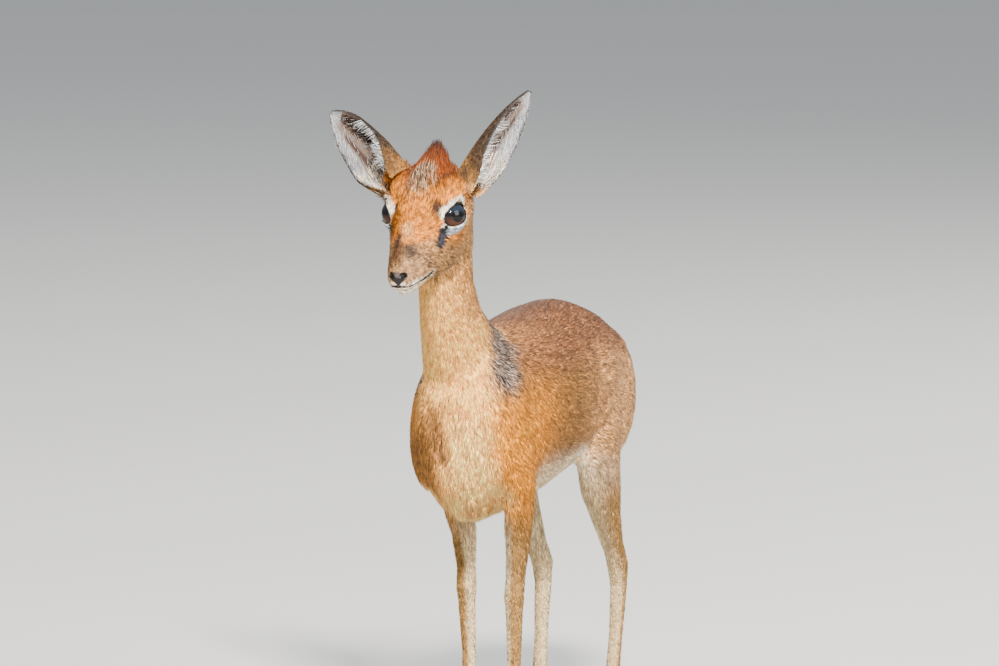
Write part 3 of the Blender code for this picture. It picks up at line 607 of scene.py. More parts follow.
def paint_ear(points, paint, on_ear, side):
    """Brown outside with a dark edge, and pale skin with dark patches inside."""
    share, edge, inside = in_ear(points, side)
    place = in_head(points)
    on_ear = on_ear * smooth(np.linalg.norm(place - EAR_HOLLOW, axis=1), 0.0105, 0.0135)
    corner = np.linalg.norm(mirrored(place) - EAR_CORNER, axis=1)
    rim = smooth(abs(edge), 0.86, 0.97)
    inner = on_ear * inside * smooth(share, 0.05, 0.11) * smooth(abs(edge), 1.20, 1.05)
    outer = on_ear * np.maximum(1.0 - inner, 0.0)
    front = edge * (1.0 if side == "right" else -1.0)
    paint.over(outer, EAR_BROWN, 0.5)
    paint.over(outer * smooth(share, 0.34, 0.0) * smooth(grain(points, 0.008, 9), 0.2, 0.8), FLANK_TAN, 0.3)
    dusky = smooth(front, 0.35, 0.75) * smooth(share, 0.15, 0.4)
    paint.over(outer * dusky * 0.6, EAR_EDGE, 0.4)
    paint.over(outer * smooth(share, 0.86, 1.0), EAR_EDGE, 0.2)
    paint.over(inner, EAR_SKIN, 0.0)
    white_rim = smooth(-front, 0.45, 0.75) + smooth(front, 0.45, 0.75) * smooth(share, 0.66, 0.50)
    paint.over(inner * white_rim, EAR_WHITE, 0.3)
    paint.over(inner * smooth(share, 0.36, 0.22), EAR_WHITE, 0.6)
    patch = smooth(abs(share - 0.66), 0.28, 0.16) * smooth(abs(front - 0.42), 0.42, 0.26)
    paint.over(inner * patch, EAR_DARK, 0.0)
    paint.over(0.8 * inner * smooth(share, 0.84, 0.94), EAR_WHITE, 0.5)
    fold = abs(front + 0.42 + 0.15 * (share - 0.5))
    paint.over(0.9 * inner * smooth(fold, 0.13, 0.04) * smooth(abs(share - 0.52), 0.32, 0.18), EAR_DARK, 0.0)
    mottled = smooth(grain(points, 0.005, 11), 0.45, 0.70) * smooth(share, 0.40, 0.20)
    paint.over(0.7 * inner * mottled, EAR_SKIN, 0.0)
    paint.over(0.85 * on_ear * rim * smooth(share, 0.30, 0.55), EAR_EDGE, 0.1)
    paint.over(on_ear * smooth(corner, 0.0140, 0.0070), FACE_PALE, 0.3)


def markings(points, normals, part):
    """Colour and grizzle at each point."""
    paint = paint_body(points, normals, part)
    paint_head(points, paint, part["head"])
    for side in ("left", "right"):
        paint_ear(points, paint, part["ear_" + side], side)
    return paint.colour, paint.grizzle


print("markings are ready to be laid on the skin")

# %% [markdown]
# The skin is one closed surface under the whole coat. It could be modelled afresh, but then it might
# leave the solids, so copies of all the flesh are joined instead: each is swelled a little so that
# the thin cuts between them close, one egg fills the crown under the crest and a small one the
# hollow before the right ear, and a voxel remesh melts them into one even skin. Smoothing takes
# the facets away.

# %% Join the flesh into one skin
DOUBLES = 0.00001
SWELL = 0.0004
VOXEL = 0.0011
SKIN_TRIANGLES = 150000
LEGS = ["_".join((name, side)) for name in (
    "forearm", "fore_cannon", "fore_pastern", "gaskin", "hind_cannon", "hind_pastern"
) for side in ("left", "right")]
FLESH = ["head", "jaw", "nose", "neck", "forequarters", "barrel", "hindquarters", "tail"]
FLESH += ["ear_left", "ear_right"] + LEGS


def apply(thing, kind, **settings):
    """Adds a modifier with these settings, and applies it."""
    select_only(thing)
    modifier = thing.modifiers.new(kind.lower(), kind)
    for name, value in settings.items():
        setattr(modifier, name, value)
    bpy.ops.object.modifier_apply(modifier=modifier.name)


def plain_copy(node, name):
    """A copy of a solid node, with its loose triangles merged."""
    thing = bpy.data.objects.new(name, nodes[node].data.copy())
    bpy.context.scene.collection.objects.link(thing)
    thing.data.materials.clear()
    select_only(thing)
    bpy.ops.object.mode_set(mode="EDIT")
    bpy.ops.mesh.select_all(action="SELECT")
    bpy.ops.mesh.remove_doubles(threshold=DOUBLES)
    bpy.ops.mesh.normals_make_consistent(inside=False)
    bpy.ops.object.mode_set(mode="OBJECT")
    return thing


pieces = [plain_copy(node, "flesh_" + node) for node in FLESH]
for piece in pieces:
    apply(piece, "DISPLACE", strength=SWELL, mid_level=0.0)
EGGS = [((0.0, -0.018, 0.0), (0.0275, 0.0235, 0.0402)), (EAR_HOLLOW, (0.0100, 0.0095, 0.0095))]
for place, radii in EGGS:
    bpy.ops.object.select_all(action="DESELECT")
    bpy.ops.mesh.primitive_uv_sphere_add(
        segments=48, ring_count=32, radius=1.0, location=head_point(*place), scale=radii
    )
    egg = bpy.context.object
    egg.rotation_euler = (0.0, 0.0, math.atan2(side_way.y, side_way.x))
    bpy.ops.object.transform_apply(location=True, rotation=True, scale=True)
    pieces.append(egg)
select_only(*pieces)
bpy.ops.object.join()
skin = bpy.context.object
skin.name = "skin"
apply(skin, "REMESH", mode="VOXEL", voxel_size=VOXEL)
print("the skin has", len(skin.data.polygons), "faces after the remesh")

# %% [markdown]
# The numbers of the skin's points now go into arrays, which are much quicker to work with than one
# point at a time. Each point is told which solid node it lies nearest, and from that comes a share
# for each part of the body, blurred over its neighbours so that every change is gradual.

# %% Know each part of the skin


def coordinates(mesh):
    values = np.empty(len(mesh.vertices) * 3)
    mesh.vertices.foreach_get("co", values)
    return values.reshape(-1, 3)


def set_coordinates(mesh, values):
    mesh.vertices.foreach_set("co", values.ravel())
    mesh.update()


def point_normals(mesh):
    values = np.empty(len(mesh.vertices) * 3, np.float32)
    mesh.vertex_normals.foreach_get("vector", values)
    return values.reshape(-1, 3).astype(float)


def spread(mesh, values, rounds):
    """Blurs values over a mesh by taking the mean of each point and its neighbours."""
    ends = np.empty(len(mesh.edges) * 2, np.int32)
    mesh.edges.foreach_get("vertices", ends)
    ends = ends.reshape(-1, 2)
    here, there = np.concatenate([ends, ends[:, ::-1]]).T
    count = np.bincount(here, minlength=len(mesh.vertices))
    flat = values.reshape(len(values), -1).astype(float)
    for _ in range(rounds):
        blurred = [np.bincount(here, flat[there, i], len(values)) / count for i in range(flat.shape[1])]
        flat = 0.5 * flat + 0.5 * np.stack(blurred, axis=1)
    return flat.reshape(values.shape)


def nearest_nodes(points):
    """For each point, the number in FLESH of the node that it lies nearest."""
    owners = [np.full(len(nodes[name].data.vertices), i) for i, name in enumerate(FLESH)]
    corners = np.concatenate([coordinates(nodes[name].data) for name in FLESH])
    owners = np.concatenate(owners)
    tree = KDTree(len(corners))
    for i, corner in enumerate(corners):
        tree.insert(corner, i)
    tree.balance()
    return np.array([owners[tree.find(point)[1]] for point in points])


def even_out(mesh, rounds, weights):
    """Smooths a mesh by the weight of each point, without making it thinner."""
    places = coordinates(mesh)
    for _ in range(rounds):
        places += (spread(mesh, places, 1) - places) * weights[:, None]
        places -= 1.04 * (spread(mesh, places, 1) - places) * weights[:, None]
    set_coordinates(mesh, places)


def belongs(names):
    """1 at the points of the skin that are nearest to one of these nodes, and 0 elsewhere."""
    return np.isin(owner, [FLESH.index(name) for name in names]).astype(float)


EARS_ALONE = ("ear_left", "ear_right")
owner = nearest_nodes(coordinates(skin.data))
thin = belongs(EARS_ALONE)
thin = np.maximum(thin, smooth(in_head(coordinates(skin.data))[:, 1], 0.030, 0.042))
for side in ("left", "right"):
    thin = np.maximum(thin, smooth(in_eye(coordinates(skin.data), side)[2], 2.0, 1.5))
thin = spread(skin.data, thin, 6)
on_head = spread(skin.data, belongs(("head", "jaw", "nose")), 4)
even_out(skin.data, 12, np.ones(len(thin)))
even_out(skin.data, 45, 1.0 - thin)
for joined, rounds in ((("neck",), 90), (EARS_ALONE, 24)):
    share = spread(skin.data, belongs(joined), rounds)
    seam = 4.0 * share * (1.0 - share)
    places = coordinates(skin.data)
    set_coordinates(skin.data, places + (spread(skin.data, places, rounds) - places) * seam[:, None])
group = skin.vertex_groups.new(name="body")
keep = np.maximum(thin, on_head)
for weight in range(11):
    chosen = np.nonzero(np.round((1.0 - keep) * 10) == weight)[0]
    group.add(chosen.tolist(), max(weight / 10.0, 0.0), "REPLACE")
apply(
    skin, "DECIMATE", ratio=SKIN_TRIANGLES / (2.0 * len(skin.data.polygons)),
    vertex_group="body", use_collapse_triangulate=True
)
print("the skin has", len(skin.data.polygons), "triangles and", len(skin.data.vertices), "points")

# %% [markdown]
# The coat is as thick as its hair is long and as steeply as it lies, half a millimetre on the face
# and two or three on the trunk. So that coat and skin together are as large as the solids, the skin
# sinks by that depth first. The depth is set node by node and blurred over the seams.

# %% Sink the skin by the depth of the coat
COAT_DEPTH = {
    "head": 0.0006, "jaw": 0.0006, "nose": 0.0002, "neck": 0.0014, "forequarters": 0.0016,
    "barrel": 0.0020, "hindquarters": 0.0020, "tail": 0.0018, "ear_left": 0.0002, "ear_right": 0.0002,
    "forearm_left": 0.0011, "forearm_right": 0.0011, "gaskin_left": 0.0011, "gaskin_right": 0.0011,
}
LEG_DEPTH = 0.0006

owner = nearest_nodes(coordinates(skin.data))
sinking = np.array([COAT_DEPTH.get(name, LEG_DEPTH) for name in FLESH])[owner]
sinking = spread(skin.data, sinking, 12)
skin_points = coordinates(skin.data) - point_normals(skin.data) * sinking[:, None]
set_coordinates(skin.data, skin_points)
print("the skin is sunk by", round(sinking.min() * 1000, 2), "to", round(sinking.max() * 1000, 2), "mm")

# %% [markdown]
# The face's fine forms are pressed into the skin, as a modeller presses clay with a loop: the line
# of the mouth, the raised nose pad, the nostrils with the groove between them, and the pit of the
# tear gland. Each press moves the points near a line along their own normals.

# %% Press the face's forms into the skin


def press(thing, distance, reach, depth):
    """Moves points in or out where distance is less than reach, most where it is 0."""
    amount = depth * smooth(distance, reach, 0.0)
    moved = coordinates(thing.data) + point_normals(thing.data) * amount[:, None]
    set_coordinates(thing.data, moved)


def head_places(thing):
    """The points of a mesh in the head's frame, with both sides laid on the left one."""
    return mirrored(in_head(coordinates(thing.data)))


def refine(thing, chosen):
    """Cuts the faces whose points are all chosen into smaller ones."""
    select_only(thing)
    thing.data.polygons.foreach_set("select", np.zeros(len(thing.data.polygons), bool))
    thing.data.edges.foreach_set("select", np.zeros(len(thing.data.edges), bool))
    thing.data.vertices.foreach_set("select", chosen)
    bpy.ops.object.mode_set(mode="EDIT")
    bpy.ops.mesh.select_mode(type="VERT")
    bpy.ops.mesh.subdivide(number_cuts=1, smoothness=0.0)
    bpy.ops.object.mode_set(mode="OBJECT")
    apply(thing, "TRIANGULATE")


places = head_places(skin)
fine = near_path(places, LIP_LINE) < 0.0035
fine |= np.linalg.norm(places - NOSE_MIDDLE, axis=1) < 0.0105
fine |= near_path(places, TEAR_PIT) < 0.0060
refine(skin, fine)
places = head_places(skin)
fine = near_path(places, NOSTRIL) < 0.0032
fine |= near_path(places, LIP_LINE) < 0.0014
refine(skin, fine)
for path, reach, depth in ((LIP_LINE, 0.0034, 0.0004), (LIP_LINE, 0.0012, -0.0016)):
    press(skin, near_path(head_places(skin), path), reach, depth)
press(skin, 1.0 - nose_mask(coordinates(skin.data)), 0.8, 0.0005)
for path, reach, depth in (
    (NOSTRIL, 0.0022, -0.0032), (PHILTRUM, 0.0012, -0.0007), (TEAR_PIT, 0.0034, -0.0010)
):
    press(skin, near_path(head_places(skin), path), reach, depth)
print("the skin has", len(skin.data.polygons), "triangles with the face's forms in it")

# %% [markdown]
# The lids are two soft folds of skin that lie on the eyeball and give the eye its shape, an almond
# whose highest point is near its outer corner. Each eye gets them as one band of rings. The band
# starts on the ball along the outline of the lids, swells to the margin of the lid, and dives under
# the skin of the face further out. It becomes part of the skin, so it is painted and haired with it.

# %% Lids
LID_STEPS = 96
LID_RINGS = 9
LID_REACH = 1.40
LID_LEAST = 1.22
LID_SWELL = 0.0007
LID_DIVE = 0.0004


def lid_band(side):
    look, along, across = eye_axes(side)
    sign = sign_of(side)
    rows = []
    for turn in np.arange(LID_STEPS) * 2.0 * math.pi / LID_STEPS:
        share = float(np.interp(math.degrees(turn), *zip(*LIDS)))
        way = along * (sign * math.cos(turn) * EYE_OPENING[0]) + across * (math.sin(turn) * EYE_OPENING[1])
        start = way * share
        start *= min(1.0, 0.975 * EYE_RADIUS / start.length)
        start = start + look * (math.sqrt(EYE_RADIUS ** 2 - start.length_squared) + 0.0001)
        beyond = eye_middle[side] + way * max(share * LID_REACH, LID_LEAST) + look * 0.03
        stop, normal = skin.ray_cast(beyond, -look)[1:3]
        stop = stop - normal * LID_DIVE - eye_middle[side]
        row = []
        for ring in range(LID_RINGS + 1):
            part = ring / LID_RINGS
            swell = LID_SWELL * math.sin(math.pi * part) ** 0.6
            row.append(eye_middle[side] + start.lerp(stop, part) + look * swell)
        rows.append(row)
    faces = []
    for i in range(LID_STEPS):
        here, there = i * (LID_RINGS + 1), (i + 1) % LID_STEPS * (LID_RINGS + 1)
        for ring in range(LID_RINGS):
            quad = [here + ring, here + ring + 1, there + ring + 1, there + ring]
            faces.append(quad if side == "left" else quad[::-1])
    mesh = bpy.data.meshes.new("lids_" + side)
    mesh.from_pydata([point for row in rows for point in row], [], faces)
    band = bpy.data.objects.new("lids_" + side, mesh)
    bpy.context.scene.collection.objects.link(band)
    apply(band, "TRIANGULATE")
    return band


bands = [lid_band(side) for side in ("left", "right")]
select_only(skin, *bands)
bpy.ops.object.join()
print("lids of", LID_STEPS * LID_RINGS * 2, "triangles on each eye")

# %% [markdown]
# Where hair shows the forms of the muscles under it, the trunk's skin is pressed too: the creases
# between the forelegs and the breast, the hollow behind the elbow, and the fold of each flank
# before the thigh.

# %% Press the creases of the trunk


def crease(path, reach, depth):
    places = in_body(coordinates(skin.data))
    press(skin, near_path(places, path), reach, depth)


crease(BREAST_CREASE, 0.010, -0.0034)
crease([(0.037, -0.137, 0.256), (0.034, -0.134, 0.240), (0.031, -0.134, 0.226)], 0.008, -0.0024)
crease([(0.051, -0.050, 0.232), (0.046, -0.070, 0.205)], 0.009, -0.0018)
for sign in (1.0, -1.0):
    fold = [(0.049, 0.046, 0.335), (0.056, 0.030, 0.300), (0.054, 0.045, 0.272), (0.047, 0.058, 0.255)]
    crease([(sign * x, y, z) for x, y, z in fold], 0.013, -0.0026)
bpy.ops.object.select_all(action="DESELECT")
select_only(skin)
bpy.ops.object.shade_smooth()
print("five creases pressed")

# %% [markdown]
# The skin takes its markings as one colour for each point, in an attribute of its own. Its material
# adds what is finer than the points: streaks of hair, grizzle where the coat is peppered, and a fine
# bump, because between the tufts the shortest hairs lie close to the skin. Bare skin, which is the
# nose pad, the lid rims and the lips, is smooth and moist instead. That mask is an attribute too.

# %% Paint the skin


# The parts that the markings ask for: their nodes, and how widely each is blurred over its edges
PARTS = {
    "head": (("head", "jaw", "nose") + EARS_ALONE, 120),
    "neck": (("neck",), 120),
    "tail": (("tail",), 10),
    "foreleg": ([name for name in LEGS if name.startswith("fore")], 70),
    "hindleg": ([name for name in LEGS if not name.startswith("fore")], 70),
    "ear_left": (("ear_left",), 1),
    "ear_right": (("ear_right",), 1),
}


def store_colour(mesh, name, colour):
    layer = mesh.color_attributes.new(name, "FLOAT_COLOR", "POINT")
    values = np.ones((len(mesh.vertices), 4))
    values[:, :3] = colour
    layer.data.foreach_set("color", values.ravel())


def store_value(mesh, name, values):
    mesh.attributes.new(name, "FLOAT", "POINT").data.foreach_set("value", values)


owner = nearest_nodes(coordinates(skin.data))
skin_parts = {name: spread(skin.data, belongs(members), rounds) for name, (members, rounds) in PARTS.items()}
skin_colour, skin_grizzle = markings(coordinates(skin.data), point_normals(skin.data), skin_parts)
bare = nose_mask(coordinates(skin.data))
bare = np.maximum(bare, smooth(near_path(head_places(skin), LIP_LINE), 0.0012, 0.0007))
for side in ("left", "right"):
    bare = np.maximum(bare, smooth(in_eye(coordinates(skin.data), side)[2], 1.10, 1.04))
store_colour(skin.data, "markings", skin_colour)
store_value(skin.data, "grizzle", skin_grizzle)
store_value(skin.data, "bare", bare)

hide = Finish("skin_and_undercoat", IOR=1.45, Specular_IOR_Level=0.22)
colour = hide.node("ShaderNodeAttribute", {"attribute_name": "markings"}, {}, "Color")
grizzle = hide.node("ShaderNodeAttribute", {"attribute_name": "grizzle"}, {}, "Fac")
moist = hide.node("ShaderNodeAttribute", {"attribute_name": "bare"}, {}, "Fac")
streaks = hide.noise(900.0, 3.0)
patches = hide.noise(160.0, 2.0)
# painted shade: the skin is darkened to eight tenths of its markings, the shade under the coat; streaks and
# patches vary its tone
amount = 0.80 + (streaks - 0.5) * 0.5 + (patches - 0.5) * 0.25
dark = hide.mask(hide.noise(1300.0, 1.0), 0.52, 0.62) * grizzle * 0.6
hide.drive("Base Color", hide.mix(dark, hide.tint(colour, amount), (0.035, 0.025, 0.020, 1.0)))
hide.drive("Roughness", 0.80 - moist * 0.52)
grains = hide.noise(1500.0, 2.0) * moist
hide.bump(streaks * (1.0 - moist) + grains * 0.8, 0.5, 0.0006)
skin.data.materials.clear()
skin.data.materials.append(hide.material)
print("mean colour of the skin", skin_colour.mean(axis=0).round(3))

# %% [markdown]
# Hair lies as water would run off the animal: back along the trunk, down over shoulder, thigh and
# leg, up over the face towards the crest, and out along each ear. Each point of the skin gets the
# direction of its hair as the blurred mix of its parts' directions, laid flat on the skin.

# %% The way the hair lies
LIE_OF_PARTS = {
    "neck": (0.0, 0.30, -1.0),
    "tail": (0.0, 0.25, -1.0),
    "foreleg": (0.0, 0.10, -1.0),
    "hindleg": (0.0, 0.15, -1.0),
}


def flat_on(normals, ways):
    """Lays directions flat on a surface."""
    ways = ways - normals * np.einsum("ij,ij->i", ways, normals)[:, None]
    return ways / np.maximum(np.linalg.norm(ways, axis=1), 1e-9)[:, None]


def lie_on_face(points):
    """Up over the nose and forehead to the crest, and back over the cheeks and the jaw."""
    side, forward, up = in_head(points).T
    high = smooth(up, -0.030, 0.020)
    ways = np.stack([
        np.sign(side) * (0.30 - 0.75 * high) * smooth(abs(side), 0.0, 0.012),
        -1.0 + 0.3 * high,
        -0.35 + 1.35 * high * smooth(forward, -0.035, -0.010) - 0.5 * smooth(forward, -0.010, -0.04),
    ], axis=1)
    ways[:, 2] += 0.35 * smooth(abs(side), 0.012, 0.004)
    return ways @ HEAD_AXES


def lie_of_hair(points, normals, parts):
    y, z = in_body(points).T[1:]
    rest = 1.0 - sum(parts[name] for name in LIE_OF_PARTS) - parts["head"]
    down = 0.08 + 0.75 * smooth(y, -0.02, -0.10) + 0.55 * smooth(y, 0.06, 0.16)
    down *= smooth(z, 0.375, 0.330)
    ways = np.stack([np.zeros(len(z)), np.ones(len(z)), -down - 0.25 * smooth(z, 0.36, 0.30)], axis=1)
    breast = smooth(y, -0.125, -0.150)
    ways = ways * (1.0 - breast)[:, None] + np.array([0.0, 0.15, -1.0]) * breast[:, None]
    total = ways * np.maximum(rest, 0.0)[:, None]
    for name, way in LIE_OF_PARTS.items():
        total += np.array(way) * parts[name][:, None]
    total += lie_on_face(points) * parts["head"][:, None]
    for side in ("left", "right"):
        total += np.array(ear_axes(side)[1]) * (3.0 * parts["ear_" + side])[:, None]
    return flat_on(normals, total)


skin_points = coordinates(skin.data)
skin_normals = point_normals(skin.data)
skin_lie = lie_of_hair(skin_points, skin_normals, skin_parts)
skin_lie = flat_on(skin_normals, spread(skin.data, skin_lie, 3))
print("hair on the back runs", skin_lie[np.argmax(skin_points[:, 1])].round(2))

# %% [markdown]
# A tuft is a thin pyramid of four triangles: its foot is in the skin and its tip points along the lie
# and a little up. The real coat has millions of hairs, so each tuft stands for a lock of many, wider
# than a hair but no wider than the locks that show in the coat. One function grows any coat. It draws
# the places evenly over the skin, by area, from a seeded generator, mixes the fields of the skin at
# each place, and makes one mesh of all the tufts.

# %% A function that grows a coat
TUFT_PATCH = 0.003
TUFT_FOOT = 0.0003
UNWRAP_ANGLE = 66.0
TUFT_CLUMP = 0.0019
# painted shade: each tuft is darker at its foot and root than at its tip, the shade deep in the coat
PAINTED_SHADE_ALONG = np.array([0.60, 0.60, 0.88, 1.16])
BRIGHTEST = 0.92
DARK_SHARE = 0.42
DARK_HAIR = 0.13
generator = np.random.default_rng(20)


def triangles_of(mesh):
    values = np.empty(len(mesh.polygons) * 3, np.int32)
    mesh.polygons.foreach_get("vertices", values)
    return values.reshape(-1, 3)


def unwrapped(name, chosen):
    """A copy of the skin's chosen triangles, unwrapped, as triangles with a place in the unwrap."""
    corners, used = np.unique(triangles_of(skin.data)[chosen], return_inverse=True)
    used = used.reshape(-1, 3)
    mesh = bpy.data.meshes.new(name)
    mesh.from_pydata(skin_points[corners].tolist(), [], used.tolist())
    thing = bpy.data.objects.new(name, mesh)
    bpy.context.scene.collection.objects.link(thing)
    select_only(thing)
    bpy.ops.object.mode_set(mode="EDIT")
    bpy.ops.mesh.select_all(action="SELECT")
    bpy.ops.uv.smart_project(angle_limit=math.radians(UNWRAP_ANGLE), island_margin=0.002)
    bpy.ops.object.mode_set(mode="OBJECT")
    places = np.empty(len(used) * 6)
    mesh.uv_layers.active.data.foreach_get("uv", places)
    bpy.data.objects.remove(thing)
    return places.reshape(-1, 3, 2)


def mesh_of(name, points, triangles, colours, places):
    """A mesh piece with a colour for each point and a UV map for each corner."""
    mesh = bpy.data.meshes.new(name)
    mesh.vertices.add(len(points))
    mesh.vertices.foreach_set("co", points.ravel())
    mesh.loops.add(len(triangles) * 3)
    mesh.loops.foreach_set("vertex_index", triangles.ravel())
    mesh.polygons.add(len(triangles))
    mesh.polygons.foreach_set("loop_start", np.arange(len(triangles)) * 3)
    mesh.update(calc_edges=True)
    mesh.validate()
    store_colour(mesh, "markings", colours)
    mesh.uv_layers.new(name="OFBake").data.foreach_set("uv", places.ravel())
    thing = bpy.data.objects.new(name, mesh)
    bpy.context.scene.collection.objects.link(thing)
    return thing


def draw_places(chosen, weights, count):
    """Evenly spread places on the chosen triangles: a triangle and three shares for each."""
    corners = skin_points[triangles_of(skin.data)[chosen]]
    first_edge, second_edge = corners[:, 1] - corners[:, 0], corners[:, 2] - corners[:, 0]
    area = np.linalg.norm(np.cross(first_edge, second_edge), axis=1) / 2.0
    total = np.cumsum(area * weights)
    steps = (np.arange(count) + generator.random(count)) / count * total[-1]
    picked = np.searchsorted(total, steps)
    first, second = generator.random((2, count))
    flip = first + second > 1.0
    first, second = np.where(flip, 1.0 - first, first), np.where(flip, 1.0 - second, second)
    return np.minimum(picked, len(chosen) - 1), np.stack([1.0 - first - second, first, second], axis=1)


def grow_coat(name, chosen, weights, count, length, width, lift, contrast):
    """One coat. length is in metres at each point of the skin; width, lift and contrast hold for all
    of its tufts, and contrast is how much their lightness varies."""
    picked, shares = draw_places(chosen, weights, count)
    triangles = triangles_of(skin.data)[chosen[picked]]

    def blend(values):
        return np.einsum("ij,ij...->i...", shares, values[triangles])

    root = blend(skin_points)
    normal = blend(skin_normals)
    normal /= np.linalg.norm(normal, axis=1)[:, None]
    way = flat_on(normal, blend(skin_lie))
    across = np.cross(normal, way)
    sway = (grain(root, 0.012, 5) - 0.5) * 0.4 + generator.normal(0.0, 0.13, count)
    way = way + across * sway[:, None]
    way /= np.linalg.norm(way, axis=1)[:, None]
    across = np.cross(normal, way)
    long = blend(length) * generator.uniform(0.70, 1.30, count)
    wide = width * generator.uniform(0.75, 1.30, count)
    rise = lift * generator.uniform(0.5, 1.4, count)
    tip = root + way * (long * np.cos(rise))[:, None] + normal * (long * np.sin(rise))[:, None]
    foot = root - normal * TUFT_FOOT
    points = np.stack([
        foot + across * (wide / 2.0)[:, None], foot - across * (wide / 2.0)[:, None],
        root + way * (long * 0.18)[:, None] + normal * (wide * 0.45 + 0.0001)[:, None], tip,
    ], axis=1)
    shape = np.array([(0, 2, 1), (0, 3, 2), (1, 2, 3), (0, 1, 3)])
    faces = (np.arange(count)[:, None, None] * 4 + shape).reshape(-1, 3)
    colour = blend(skin_colour)
    light = generator.normal(0.0, 1.0, count) + (grain(root, TUFT_CLUMP, 7) - 0.5) * 4.0
    light = np.exp(light * contrast).clip(0.25, 2.0)
    grizzle = blend(skin_grizzle)
    peppered = generator.random(count) < np.clip(grizzle * DARK_SHARE, 0.0, 0.58)
    light = np.where(peppered, light * DARK_HAIR, light * (1.04 + 0.45 * np.clip(grizzle - 0.4, 0.0, 1.0)))
    # painted shade: tufts get darker towards the skin
    tinted = (colour[:, None, :] * light[:, None, None] * PAINTED_SHADE_ALONG[None, :, None]).clip(0.0, BRIGHTEST)
    corner = np.array([(-0.5, -0.5), (0.5, -0.5), (0.0, 0.0), (0.0, 0.5)]) * TUFT_PATCH
    home = np.einsum("ij,ijk->ik", shares, unwrapped(name + "_pattern", chosen)[picked])
    places = home[:, None, None, :] + corner[shape][None]
    thing = mesh_of(name, points.reshape(-1, 3), faces, tinted.reshape(-1, 3), places.reshape(-1, 2))
    thing.data.materials.append(coat_finish.material)
    print(name, "has", count, "tufts,", round(float(long.mean()) * 1000, 1), "mm long")
    return thing


coat_finish = Finish("coat_hair", Roughness=0.62, IOR=1.4, Specular_IOR_Level=0.25)
hair_colour = coat_finish.node("ShaderNodeAttribute", {"attribute_name": "markings"}, {}, "Color")
coat_finish.drive("Base Color", coat_finish.tint(hair_colour, 0.85 + 0.3 * coat_finish.noise(700.0)))

# %% [markdown]
# The coat is shortest on face and feet, and longest on breast, belly and rump. Each region is a
# piece of its own, of fewer than fifty thousand tufts, and all of them share one material. Bare skin
# and the eye openings grow nothing.

# %% Grow the coat
TUFT_MOST = 49000
place_body = in_body(skin_points)
place_head = in_head(skin_points)
both_sides = head_places(skin)
bald = np.maximum(bare, smooth(near_path(both_sides, LIP_LINE), 0.0016, 0.0010))
bald = np.maximum(bald, 0.85 * smooth(near_path(both_sides, TEAR_PIT), 0.0044, 0.0030))
near_eye = np.full(len(skin_points), FAR_OFF)
for side in ("left", "right"):
    near_eye = np.minimum(near_eye, in_eye(skin_points, side)[2])
    share, edge, inside = in_ear(skin_points, side)
    bald = np.maximum(bald, skin_parts["ear_" + side] * inside * 0.97)
bald = np.maximum(bald, smooth(near_eye, 1.14, 1.06))
ears = np.maximum(skin_parts["ear_left"], skin_parts["ear_right"])
forward, up = place_head[:, 1], place_head[:, 2]
face_length = 0.0020 + 0.0026 * smooth(forward, 0.045, 0.0) + 0.0014 * smooth(up, -0.01, 0.03)
face_length *= 1.0 - 0.45 * smooth(near_eye, 2.2, 1.2)
trunk_length = 0.0074 + 0.0040 * smooth(place_body[:, 2], 0.26, 0.22)
legs = np.maximum(skin_parts["foreleg"], skin_parts["hindleg"])
lengths = trunk_length * (1.0 - legs) + (0.0030 + 0.0035 * smooth(place_body[:, 2], 0.10, 0.24)) * legs
lengths = lengths * (1.0 - skin_parts["neck"]) + 0.0060 * skin_parts["neck"]
lengths = lengths * (1.0 - skin_parts["head"]) + face_length * skin_parts["head"]
lengths = lengths * (1.0 - ears) + 0.0022 * ears
triangle_owner = owner[triangles_of(skin.data)[:, 0]]
shine_through = 1.0 - bald[triangles_of(skin.data)].mean(axis=1)
# The nodes under each coat, the share of the most tufts, and their width, lift and contrast
COATS = {
    "coat_of_face": (("head", "jaw", "nose"), 1.0, 0.00056, 0.28, 0.66),
    "coat_of_ears": (("ear_left", "ear_right"), 0.55, 0.00042, 0.18, 0.45),
    "coat_of_neck": (("neck",), 1.0, 0.00058, 0.14, 0.30),
    "coat_of_shoulders": (("forequarters",), 1.0, 0.00080, 0.14, 0.34),
    "coat_of_barrel": (("barrel",), 1.0, 0.00085, 0.14, 0.34),
    "coat_of_rump": (("hindquarters", "tail"), 1.0, 0.00085, 0.14, 0.32),
    "coat_of_legs": (tuple(LEGS), 1.0, 0.00055, 0.18, 0.32),
}
for name, (members, share, width, lift, contrast) in COATS.items():
    chosen = np.isin(triangle_owner, [FLESH.index(member) for member in members])
    chosen = np.nonzero(chosen & (shine_through > 0.02))[0]
    count = int(TUFT_MOST * share)
    coat = grow_coat(name, chosen, shine_through[chosen], count, lengths, width, lift, contrast)
    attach(coat, "root")
    "back_coat" if name in ("coat_of_barrel", "coat_of_rump") else "tan_coat"
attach(skin, "root")
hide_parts(*FLESH)
